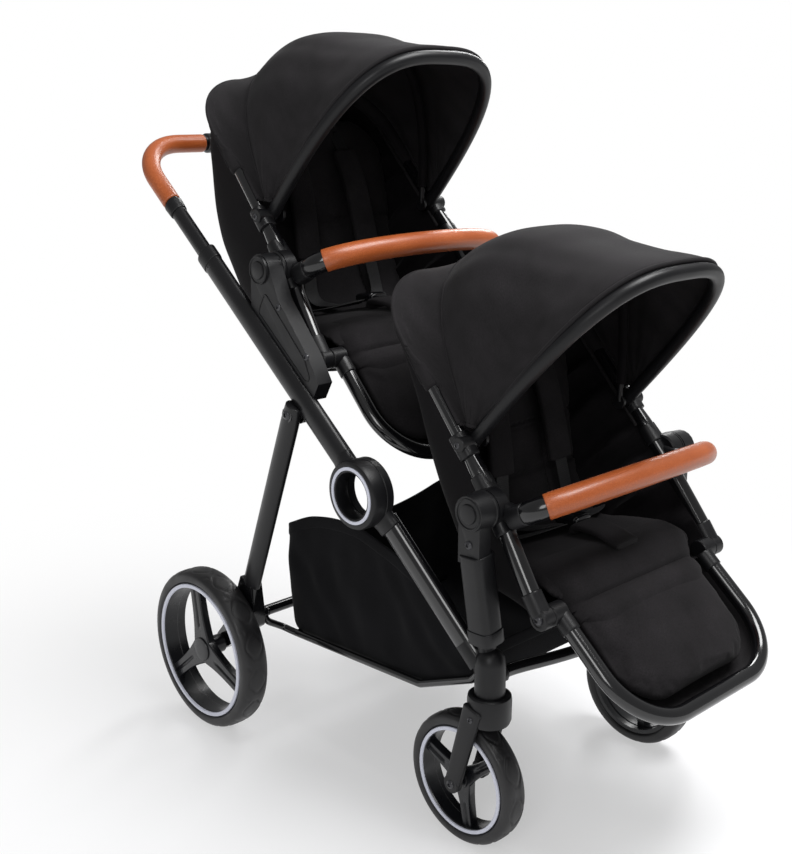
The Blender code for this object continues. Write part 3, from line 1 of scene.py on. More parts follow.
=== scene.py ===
"""Looks of a convertible pram with two hooded seats, one behind the other.

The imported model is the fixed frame. This script replaces its soft solids with cloth and padding,
its facetted tubes, wheels and bows with smooth surfaces, and dresses what it keeps.
Metres, +Z up, front towards -Y, the near side of the photograph at -X.
"""
from __future__ import annotations

import json
import logging
import math
from collections.abc import Callable
from dataclasses import dataclass
from enum import Enum

import bmesh
import bpy
import numpy as np
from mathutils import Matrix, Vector

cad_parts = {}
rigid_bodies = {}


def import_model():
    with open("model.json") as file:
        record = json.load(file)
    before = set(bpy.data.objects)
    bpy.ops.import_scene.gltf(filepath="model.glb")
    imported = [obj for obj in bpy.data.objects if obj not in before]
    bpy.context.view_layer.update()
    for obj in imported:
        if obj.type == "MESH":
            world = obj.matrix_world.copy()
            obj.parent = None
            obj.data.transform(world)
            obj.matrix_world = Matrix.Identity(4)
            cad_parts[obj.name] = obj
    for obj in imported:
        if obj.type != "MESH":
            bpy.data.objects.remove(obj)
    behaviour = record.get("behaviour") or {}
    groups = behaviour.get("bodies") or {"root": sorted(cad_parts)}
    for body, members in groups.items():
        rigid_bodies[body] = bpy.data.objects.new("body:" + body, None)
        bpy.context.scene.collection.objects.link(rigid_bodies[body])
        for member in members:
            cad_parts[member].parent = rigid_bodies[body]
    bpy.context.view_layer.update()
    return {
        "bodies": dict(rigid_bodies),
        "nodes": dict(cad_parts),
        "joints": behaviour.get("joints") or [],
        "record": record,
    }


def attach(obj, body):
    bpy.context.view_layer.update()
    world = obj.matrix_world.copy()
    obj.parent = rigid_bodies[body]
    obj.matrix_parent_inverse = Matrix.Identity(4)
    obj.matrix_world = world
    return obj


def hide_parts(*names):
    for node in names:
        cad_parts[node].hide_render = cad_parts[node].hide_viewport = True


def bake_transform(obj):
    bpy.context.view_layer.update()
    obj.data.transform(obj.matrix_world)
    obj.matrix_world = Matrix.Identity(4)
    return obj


LOG = logging.getLogger("pram")
Array = np.ndarray
SIDES = {"right": -1, "left": 1}
ACROSS = np.array([1.0, 0.0, 0.0])
UPWARD = np.array([0.0, 0.0, 1.0])


# Finishes
def linear(code: str) -> tuple[float, float, float, float]:
    """Turn an sRGB hex colour into linear light.

    Args:
        code: six hex digits after a hash sign.

    Returns:
        Red, green, blue and an alpha of one.
    """
    parts = [int(code[i:i + 2], 16) / 255 for i in (1, 3, 5)]
    light = [c / 12.92 if c <= 0.04045 else ((c + 0.055) / 1.055) ** 2.4 for c in parts]
    return (light[0], light[1], light[2], 1.0)


def add(tree: bpy.types.NodeTree, kind: str, values: dict | None = None, links: dict | None = None,
        **settings: object) -> bpy.types.Node:
    """Add one shader node with its settings, input values and links.

    Args:
        tree: the material's node tree.
        kind: the node's type after "ShaderNode".
        values: input name or number to its value.
        links: input name or number to the socket that feeds it.
        settings: the node's own properties.

    Returns:
        The new node.
    """
    node = tree.nodes.new("ShaderNode" + kind)
    for key, value in settings.items():
        setattr(node, key, value)
    for key, value in (values or {}).items():
        node.inputs[key].default_value = value
    for key, socket in (links or {}).items():
        tree.links.new(socket, node.inputs[key])
    return node


class Coordinates(Enum):
    """Where a pattern gets its place from."""

    OBJECT = "Object"
    SURFACE = "UV"


@dataclass(frozen=True)
class Finish:
    """A finish with a colour that drifts a little, a grain and an even gloss.

    Colours are sRGB hex; grain and drift are real sizes in millimetres.
    """

    name: str
    colour: str
    second: str
    roughness: float
    grain_mm: float = 1.0
    grain_height_mm: float = 0.05
    drift_mm: float = 60.0
    spread: float = 0.06
    coat: float = 0.0
    coat_roughness: float = 0.08
    sheen: float = 0.0
    ior: float = 1.5
    where: Coordinates = Coordinates.OBJECT

    def material(self) -> bpy.types.Material:
        """Build the material once and hand out the same one after that."""
        known = bpy.data.materials.get(self.name)
        if known is not None:
            return known
        made = bpy.data.materials.new(self.name)
        made.use_nodes = True
        tree = made.node_tree
        shader = tree.nodes["Principled BSDF"]
        shader.inputs["IOR"].default_value = self.ior
        shader.inputs["Coat Weight"].default_value = self.coat
        shader.inputs["Coat Roughness"].default_value = self.coat_roughness
        shader.inputs["Sheen Weight"].default_value = self.sheen
        shader.inputs["Sheen Roughness"].default_value = 0.4
        place = add(tree, "TexCoord").outputs[self.where.value]
        self.dress(tree, shader, place)
        made.diffuse_color = linear(self.colour)
        return made

    def dress(self, tree: bpy.types.NodeTree, shader: bpy.types.Node, place: bpy.types.NodeSocket) -> None:
        """Colour, gloss and grain from two noises: a broad drift and a fine grain.

        Args:
            tree: the node tree.
            shader: the surface shader.
            place: the coordinates, in metres.
        """
        drift = add(tree, "TexNoise", {"Scale": 1000 / self.drift_mm, "Detail": 3.0}, {"Vector": place})
        self.tint(tree, shader, drift.outputs["Fac"])
        grain = add(tree, "TexNoise", {"Scale": 1000 / self.grain_mm, "Detail": 2.0}, {"Vector": place})
        self.relief(tree, shader, grain.outputs["Fac"])

    def tint(self, tree: bpy.types.NodeTree, shader: bpy.types.Node, fac: bpy.types.NodeSocket) -> None:
        """Mix the two colours by a pattern, and let the gloss drift with it."""
        mix = add(tree, "Mix", {6: linear(self.colour), 7: linear(self.second)}, {"Factor": fac}, data_type="RGBA")
        tree.links.new(mix.outputs[2], shader.inputs["Base Color"])
        span = add(tree, "MapRange", {"From Min": 0.3, "From Max": 0.7,
                                      "To Min": max(0.02, self.roughness - self.spread),
                                      "To Max": self.roughness + self.spread}, {"Value": fac})
        tree.links.new(span.outputs["Result"], shader.inputs["Roughness"])

    def relief(self, tree: bpy.types.NodeTree, shader: bpy.types.Node, height: bpy.types.NodeSocket) -> None:
        """Turn a height pattern into a bump as deep as the grain."""
        bump = add(tree, "Bump", {"Strength": 1.0, "Distance": self.grain_height_mm / 1000}, {"Height": height})
        tree.links.new(bump.outputs["Normal"], shader.inputs["Normal"])


@dataclass(frozen=True)
class Woven(Finish):
    """Cloth: two thread directions cross in bands, with a heathered colour between threads."""

    thread_mm: float = 1.0
    sheen: float = 0.03
    where: Coordinates = Coordinates.SURFACE

    def dress(self, tree: bpy.types.NodeTree, shader: bpy.types.Node, place: bpy.types.NodeSocket) -> None:
        """Warp and weft as two band waves; their product is the weave's height."""
        bands = 0.31416 / (self.thread_mm / 1000)
        warp, weft = (add(tree, "TexWave", {"Scale": bands, "Distortion": 0.6, "Detail": 1.0, "Detail Scale": 0.4},
                          {"Vector": place}, bands_direction=way) for way in ("X", "Y"))
        cross = add(tree, "Math", None, {0: warp.outputs["Fac"], 1: weft.outputs["Fac"]}, operation="MULTIPLY")
        fleck = add(tree, "TexNoise", {"Scale": 1000 / self.grain_mm, "Detail": 2.0}, {"Vector": place})
        drift = add(tree, "TexNoise", {"Scale": 1000 / self.drift_mm, "Detail": 2.0}, {"Vector": place})
        mean = add(tree, "Math", {2: 0.0}, {0: fleck.outputs["Fac"], 1: drift.outputs["Fac"]}, operation="MULTIPLY")
        both = add(tree, "MapRange", {"From Min": 0.08, "From Max": 0.48}, {"Value": mean.outputs[0]})
        self.tint(tree, shader, both.outputs["Result"])
        self.relief(tree, shader, cross.outputs[0])


@dataclass(frozen=True)
class Padded(Woven):
    """The same cloth on a remeshed pad, which has no surface coordinates of its own."""

    where: Coordinates = Coordinates.OBJECT


@dataclass(frozen=True)
class Leatherette(Finish):
    """Coated cloth with an embossed pebble grain: cells with soft valleys between them."""

    def dress(self, tree: bpy.types.NodeTree, shader: bpy.types.Node, place: bpy.types.NodeSocket) -> None:
        """Cells give the pebbles' height and shift the colour lighter towards the valleys; a broad noise drifts the
        colour.
        """
        cells = add(tree, "TexVoronoi", {"Scale": 1000 / self.grain_mm, "Smoothness": 0.6}, {"Vector": place},
                    feature="SMOOTH_F1")
        drift = add(tree, "TexNoise", {"Scale": 1000 / self.drift_mm, "Detail": 4.0}, {"Vector": place})
        fac = add(tree, "Math", None, {0: cells.outputs["Distance"], 1: drift.outputs["Fac"]}, operation="MULTIPLY")
        span = add(tree, "MapRange", {"From Min": 0.05, "From Max": 0.55}, {"Value": fac.outputs[0]})
        self.tint(tree, shader, span.outputs["Result"])
        low = add(tree, "Math", {0: 1.0}, {1: cells.outputs["Distance"]}, operation="SUBTRACT")
        self.relief(tree, shader, low.outputs[0])


# Gloss powder coat on aluminium tube: near black, sharp white highlights, a faint orange peel of 3 mm
ENAMEL = Finish("gloss_black_powder_coat", "#0B0B0D", "#101012", 0.17, 3.0, 0.020, 90.0, 0.04, coat=0.5)
# The same tube in a satin coat, as on the upper tubes, handle and legs
SATIN = Finish("satin_black_powder_coat", "#101012", "#161618", 0.36, 1.6, 0.030, 70.0, 0.05, ior=1.42)
# The hood's front bow: the same coat, matt
BOW = Finish("matt_black_powder_coat", "#0E0E10", "#141416", 0.40, 1.6, 0.020, 70.0, 0.05, ior=1.36)
# Glass-filled nylon, spark-eroded mould: satin black with a 1.2 mm grain, coarser than real so that it shows
NYLON = Finish("satin_moulded_nylon", "#0E0E10", "#151517", 0.40, 1.2, 0.040, 40.0, 0.07, ior=1.38)
# Polished nylon for caps and collars: darker and sharper
GLOSS_NYLON = Finish("polished_moulded_nylon", "#0A0A0C", "#101012", 0.18, 2.5, 0.015, 50.0, 0.05, coat=0.3)
# Moulded wheel: satin polypropylene
WHEEL = Finish("satin_moulded_polypropylene", "#0F1013", "#15161A", 0.30, 1.4, 0.030, 35.0, 0.07)
# Foamed rubber tyre: dull with a soft shine on its shoulders
TYRE = Finish("foamed_rubber_tyre", "#151516", "#1D1C1E", 0.46, 1.6, 0.060, 30.0, 0.08)
# White trim ring: moulded ABS with a cool cast
RING = Finish("moulded_white_abs", "#C9CCDA", "#D4D6E2", 0.30, 2.0, 0.010, 50.0, 0.05)
# Zinc-plated steel darkened black, for bolt heads
BOLT = Finish("blackened_steel", "#2A2A2D", "#3A3A3E", 0.28, 1.0, 0.020, 15.0, 0.06)
# Melange polyester: charcoal, matt. The real 0.4 mm threads are drawn at 1 mm so that they show
CLOTH = Woven("woven_charcoal_polyester", "#1A191A", "#2B292B", 0.92, 2.2, 0.06, 45.0, 0.05, ior=1.24)
PAD_CLOTH = Padded("woven_charcoal_polyester_pad", "#171617", "#282628", 0.94, 2.2, 0.05, 45.0, 0.05, ior=1.22)
# Hood lining and tub lining: smoother and a little darker
LINING = Woven("smooth_black_lining", "#0A090B", "#181618", 0.90, 2.2, 0.05, 35.0, 0.06, ior=1.2)
# Basket bag: thin woven polyester, blacker
BAG = Woven("thin_black_bag_cloth", "#09090B", "#19191B", 0.88, 2.2, 0.06, 50.0, 0.06, ior=1.2)
# Harness webbing: ribbed across every 3 mm
WEBBING = Woven("ribbed_black_webbing", "#0F0F11", "#161618", 0.70, 2.0, 0.22, 25.0, 0.05, thread_mm=3.0)
# Tan leatherette over foam: 1.6 mm pebbles, satin
LEATHER = Leatherette("embossed_tan_leatherette", "#96481F", "#B25E30", 0.40, 1.6, 0.070, 55.0, 0.07, coat=0.08)
THREAD = Finish("waxed_tan_thread", "#8A3F1A", "#9A4E25", 0.6, 0.8, 0.05, 10.0, 0.05)


# Surfaces
def mesh_object(name: str, points: Array, faces: Array | list, finish: Finish, uv: Array | None = None,
                smooth_deg: float = 40.0) -> bpy.types.Object:
    """Put points and faces into a mesh object at the origin.

    Args:
        name: the piece's name.
        points: (n, 3) positions in metres.
        faces: rows of vertex numbers.
        finish: its finish.
        uv: (n, 2) surface coordinates in metres, one per vertex.
        smooth_deg: edges sharper than this stay sharp.

    Returns:
        The object, linked to the scene.
    """
    mesh = bpy.data.meshes.new(name)
    mesh.from_pydata(points.reshape(-1, 3), [], faces if isinstance(faces, list) else faces.tolist())
    mesh.validate()
    layer = mesh.uv_layers.new(name="surface")
    spots = np.zeros(len(mesh.loops), int)
    mesh.loops.foreach_get("vertex_index", spots)
    flat = points.reshape(-1, 3)[:, 1:] if uv is None else uv.reshape(-1, 2)
    layer.data.foreach_set("uv", flat[spots].astype(np.float32).ravel())
    made = bpy.data.objects.new(name, mesh)
    bpy.context.scene.collection.objects.link(made)
    mesh.materials.append(finish.material())
    soften(mesh, smooth_deg)
    return made


def soften(mesh: bpy.types.Mesh, degrees: float) -> None:
    """Shade a mesh smooth, and keep edges sharper than the angle."""
    mesh.polygons.foreach_set("use_smooth", np.ones(len(mesh.polygons), bool))
    mesh.set_sharp_from_angle(angle=math.radians(degrees))


def grid_faces(rows: int, cols: int, wrap_rows: bool = False, wrap_cols: bool = False) -> Array:
    """Quads of a grid of points numbered row by row, joined round where it wraps."""
    i = np.arange(rows if wrap_rows else rows - 1)
    j = np.arange(cols if wrap_cols else cols - 1)
    i, j = (a.ravel() for a in np.meshgrid(i, j, indexing="ij"))
    up, on = (i + 1) % rows, (j + 1) % cols
    return np.stack([i * cols + j, i * cols + on, up * cols + on, up * cols + j], axis=1)


def facing_out(made: bpy.types.Object) -> bpy.types.Object:
    """Merge doubled points and turn a closed mesh's faces outwards."""
    bm = bmesh.new()
    bm.from_mesh(made.data)
    bmesh.ops.remove_doubles(bm, verts=bm.verts, dist=1e-6)
    bmesh.ops.recalc_face_normals(bm, faces=bm.faces)
    bm.to_mesh(made.data)
    bm.free()
    return made


def sheet_object(name: str, points: Array, finish: Finish, smooth_deg: float = 60.0) -> bpy.types.Object:
    """A grid surface whose surface coordinates are the distances along its rows and columns."""
    rows, cols = points.shape[:2]
    across = np.concatenate([np.zeros((rows, 1)), np.cumsum(np.linalg.norm(np.diff(points, axis=1), axis=2), axis=1)],
                            1)
    along = np.concatenate([np.zeros((1, cols)), np.cumsum(np.linalg.norm(np.diff(points, axis=0), axis=2), axis=0)],
                           0)
    return mesh_object(name, points, grid_faces(rows, cols), finish, np.stack([across, along], -1), smooth_deg)


def thickened(made: bpy.types.Object, thick: float, offset: float = -1.0) -> bpy.types.Object:
    """Give a sheet its thickness as a Solidify, applied at once."""
    solid = made.modifiers.new("thickness", "SOLIDIFY")
    solid.thickness = thick
    solid.offset = offset
    solid.use_even_offset = False
    return applied(made)


def applied(made: bpy.types.Object) -> bpy.types.Object:
    """Replace an object's mesh by its evaluated one, with no modifiers left."""
    bpy.context.view_layer.update()
    graph = bpy.context.evaluated_depsgraph_get()
    mesh = bpy.data.meshes.new_from_object(made.evaluated_get(graph), depsgraph=graph)
    old = made.data
    made.modifiers.clear()
    made.data = mesh
    bpy.data.meshes.remove(old)
    mesh.name = made.name
    return made


def powered(value: Array, power: float) -> Array:
    """The size of a value raised to a power, with its sign kept."""
    return np.sign(value) * np.abs(value) ** power


def unit(vectors: Array) -> Array:
    """Vectors of length one, along the last axis."""
    return vectors / np.linalg.norm(vectors, axis=-1, keepdims=True)


def distances(points: Array) -> Array:
    """The distance along a polyline at each of its points."""
    return np.concatenate([[0], np.cumsum(np.linalg.norm(np.diff(points, axis=0), axis=1))])


def ring_profile(width: float, depth: float, sides: int = 24, power: float = 2.0) -> Array:
    """A closed oval: x = w cos^(2/p), y = d sin^(2/p), as (sides, 2)."""
    t = np.linspace(0, 2 * math.pi, sides, endpoint=False)
    return np.stack([width * powered(np.cos(t), 2 / power), depth * powered(np.sin(t), 2 / power)], 1)


def smooth_path(points: Array | list, count: int) -> Array:
    """A Catmull-Rom curve through the points, resampled at even distances.

    Args:
        points: (n, k) control points.
        count: how many points come back.

    Returns:
        (count, k) points: each span is 0.5 (2b + (c-a)t + (2a-5b+4c-d)t^2 + (3b-a-3c+d)t^3).
    """
    p = np.asarray(points, float)
    e = np.concatenate([p[:1], p, p[-1:]])
    t = np.linspace(0, 1, 24, endpoint=False)[None, :, None]
    a, b, c, d = (e[k:len(p) - 1 + k, None, :] for k in range(4))
    fine = 0.5 * (2 * b + (c - a) * t + (2 * a - 5 * b + 4 * c - d) * t ** 2 + (3 * b - a - 3 * c + d) * t ** 3)
    return evenly(np.concatenate([fine.reshape(-1, p.shape[1]), p[-1:]]), count)


def evenly(points: Array, count: int) -> Array:
    """A polyline resampled at even distances along it."""
    run = distances(points)
    goal = np.linspace(0, run[-1], count)
    return np.stack([np.interp(goal, run, points[:, k]) for k in range(points.shape[1])], 1)


def filleted(points: Array | list, radius: float, steps: int = 12) -> Array:
    """A polyline with each inner corner replaced by an arc of that radius."""
    p = np.asarray(points, float)
    made = [p[:1]]
    for before, corner, after in zip(p, p[1:], p[2:]):
        back, on = (v / np.linalg.norm(v) for v in (before - corner, after - corner))
        half = math.acos(np.clip(back @ on, -1, 1)) / 2
        middle = corner + (back + on) / np.linalg.norm(back + on) * radius / math.sin(half)
        first, last = (corner + v * radius / math.tan(half) - middle for v in (back, on))
        swing = math.pi - 2 * half
        k = np.linspace(0, 1, steps + 1)[:, None]
        made.append(middle + (np.sin((1 - k) * swing) * first + np.sin(k * swing) * last) / math.sin(swing))
    return np.concatenate(made + [p[-1:]])


def sweep(name: str, path: Array, profile: Array, across: Array, finish: Finish, scale: Array | None = None,
          cap: float = 0.0015, closed: bool = False) -> bpy.types.Object:
    """Carry a closed profile along a path; its ends are filleted and shut.

    A ring's first axis is the across vector, squared to the path; its second is tangent x across.

    Args:
        name: the piece's name.
        path: (n, 3) centreline.
        profile: (m, 2) outline about the path.
        across: (3,) or (n, 3) direction of the profile's first axis.
        finish: its finish.
        scale: (n,) size of the profile along the path, or (n, 2) for its two axes.
        cap: the fillet at each end.
        closed: whether the path joins its own start.

    Returns:
        The object.
    """
    path = np.asarray(path, float)
    size = np.ones((len(path), 2)) if scale is None else np.asarray(scale, float).reshape(len(path), -1) * np.ones(2)
    across = np.broadcast_to(np.asarray(across, float), path.shape)
    tangent = np.roll(path, -1, 0) - np.roll(path, 1, 0) if closed else np.gradient(path, axis=0)
    tangent = unit(tangent)
    if not closed:
        turn = np.radians([0.0, 0.0, 30.0, 60.0])
        inset = cap * (1 - np.cos(turn))
        shrink = (1 - cap / profile.max() * (1 - np.sin(turn)))[:, None] * np.array([[0.0], [1], [1], [1]])
        path = path.copy()
        path[0] += tangent[0] * cap
        path[-1] -= tangent[-1] * cap
        head = path[0] - tangent[0] * (cap - inset)[:, None]
        tail = path[-1] + tangent[-1] * (cap - inset)[::-1, None]
        path = np.concatenate([head, path, tail])
        size = np.concatenate([size[0] * shrink, size, size[-1] * shrink[::-1]])
        across, tangent = (np.concatenate([np.repeat(v[:1], 4, 0), v, np.repeat(v[-1:], 4, 0)]) for v in (across,
                tangent))
    side = unit(across - tangent * np.sum(across * tangent, axis=1, keepdims=True))
    up = np.cross(tangent, side)
    ring = profile[None] * size[:, None]
    points = path[:, None] + ring[..., :1] * side[:, None] + ring[..., 1:] * up[:, None]
    rows, cols = points.shape[:2]
    uv = np.stack(np.meshgrid(distances(profile), distances(path)), -1)
    return facing_out(mesh_object(name, points, grid_faces(rows, cols, closed, True), finish, uv, 50))


def turned(name: str, profile: Array | list, at: tuple[float, float, float], finish: Finish, steps: int = 64,
           axis: str = "X", smooth_deg: float = 30.0) -> bpy.types.Object:
    """Turn a profile of (radius, distance) about an axis: a point is centre + r (cos, sin) + distance.

    Args:
        name: the piece's name.
        profile: (k, 2) radii and distances; where its ends aren't on the axis, it closes on itself.
        at: a point on the axis.
        finish: its finish.
        steps: how many steps make the turn.
        axis: X or Z.
        smooth_deg: edges sharper than this stay sharp.

    Returns:
        The object.
    """
    r, d = np.asarray(profile, float).T
    t = np.linspace(0, 2 * math.pi, steps, endpoint=False)[:, None]
    a, b, c = r * np.cos(t), r * np.sin(t), d + 0 * t
    points = np.stack([c, a, b] if axis == "X" else [a, b, c], -1) + np.asarray(at)
    uv = np.stack([t * r.max() + 0 * r, np.cumsum(np.hypot(np.gradient(r), np.gradient(d))) + 0 * t], -1)
    open_ends = r[0] < 1e-9 and r[-1] < 1e-9
    made = mesh_object(name, points, grid_faces(steps, len(r), True, not open_ends), finish, uv, smooth_deg)
    facing_out(made)
    soften(made.data, smooth_deg)
    return made


def joined(name: str, pieces: list[bpy.types.Object]) -> bpy.types.Object:
    """Join several pieces' meshes into the first, under one name."""
    bm = bmesh.new()
    mats: list[bpy.types.Material] = []
    for piece in pieces:
        start = len(bm.faces)
        bm.from_mesh(piece.data)
        bm.faces.ensure_lookup_table()
        index = [mats.index(m) if m in mats else mats.append(m) or len(mats) - 1 for m in piece.data.materials]
        for face in bm.faces[start:]:
            face.material_index = index[face.material_index]
    mesh = bpy.data.meshes.new(name)
    bm.to_mesh(mesh)
    bm.free()
    for m in mats:
        mesh.materials.append(m)
    for piece in pieces:
        bpy.data.objects.remove(piece, do_unlink=True)
    made = bpy.data.objects.new(name, mesh)
    bpy.context.scene.collection.objects.link(made)
    return made


def refined(frame: dict, node: str, finish: Finish, bevel: float = 0.0007) -> bpy.types.Object:
    """A merged copy of a rigid CAD node, shaded smooth, with its sharp edges broken.

    Args:
        node: the CAD node's name.
        finish: its finish.
        bevel: the width of the broken edge.

    Returns:
        The copy, which stands for the node.
    """
    source = frame["nodes"][node]
    made = bpy.data.objects.new(node + "_moulded", source.data.copy())
    bpy.context.scene.collection.objects.link(made)
    made.data.materials.clear()
    made.data.materials.append(finish.material())
    bm = bmesh.new()
    bm.from_mesh(made.data)
    bmesh.ops.remove_doubles(bm, verts=bm.verts, dist=2e-6)
    bmesh.ops.dissolve_limit(bm, angle_limit=math.radians(1.0), verts=bm.verts, edges=bm.edges)
    bmesh.ops.recalc_face_normals(bm, faces=bm.faces)
    bm.to_mesh(made.data)
    bm.free()
    soften(made.data, 41)
    edge = made.modifiers.new("broken_edges", "BEVEL")
    edge.width = bevel
    edge.segments = 2
    edge.limit_method = "ANGLE"
    edge.angle_limit = math.radians(41)
    edge.harden_normals = True
    applied(made)
    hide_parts(node)
    return made


def stand_for(made: bpy.types.Object, node: str, body: str, slot: str) -> bpy.types.Object:
    """Let a piece replace a CAD node and ride on its body."""
    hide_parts(node)
    return on(made, body, slot)


def on(made: bpy.types.Object, body: str, slot: str) -> bpy.types.Object:
    """Let a piece ride on a body, and report it."""
    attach(made, body)
    LOG.info("%s on %s, %d faces", made.name, body, len(made.data.polygons))
    return made


def normals(path: Array) -> Array:
    """The directions square to a side-plane path, on its left."""
    ahead = unit(np.gradient(path, axis=0))
    return np.stack([-ahead[:, 1], ahead[:, 0]], 1)


def side_points(x: float | Array, yz: Array) -> Array:
    """Side-plane points as points in space."""
    yz = np.asarray(yz, float)
    return np.concatenate([np.full((len(yz), 1), x) if np.isscalar(x) else np.asarray(x)[:, None], yz], 1)


def bolt(name: str, at: tuple[float, float, float], out: int, radius: float) -> bpy.types.Object:
    """A domed bolt head with a round socket, facing out along X."""
    h = radius * 0.55
    dome = [(radius * math.cos(t), out * h * math.sin(t)) for t in np.radians([0, 20, 40, 60])]
    rim = radius * 0.42
    profile = [(0, out * h * 0.35), (rim, out * h * 0.35),
               (rim, out * h * 0.93)] + dome[::-1] + [(radius, -out * 0.002), (0, -out * 0.002)]
    return turned(name, profile, at, BOLT, 20)


# Frame of the object
@dataclass(frozen=True)
class Layout:
    """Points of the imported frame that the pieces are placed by, as (y, z) in the side plane."""

    hub: Array
    slope: float = math.radians(38.9)
    tube_x: float = 0.238
    caster_x: float = 0.202
    caster_back: float = -0.211
    leg_pin: tuple[float, float] = (0.150, 0.087)
    lower_foot: tuple[float, float] = (-0.190, -0.202)

    @classmethod
    def of(cls, frame: dict) -> "Layout":
        """Read the ring hub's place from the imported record's folding joint."""
        return cls(joint_at(frame, "chassis_fold"))

    @property
    def way(self) -> Array:
        """The direction up the upper tube."""
        return np.array([math.cos(self.slope), math.sin(self.slope)])

    def point(self, back: float, up: float) -> Array:
        """A side-plane point given from the ring hub."""
        return self.hub + np.array([back, up])

    def on_slope(self, along: float | Array, above: float = 0.0) -> Array:
        """A side-plane point given along the upper tube and square to it."""
        c, s = self.way
        return self.hub + np.stack([along * c - above * s, along * s + above * c], -1)


def joint_at(frame: dict, name: str) -> Array:
    """The (y, z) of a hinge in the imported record."""
    found = next(j for j in frame["record"]["behaviour"]["joints"] if j["name"] == name)
    return np.array(found["pos_m"][1:], float)


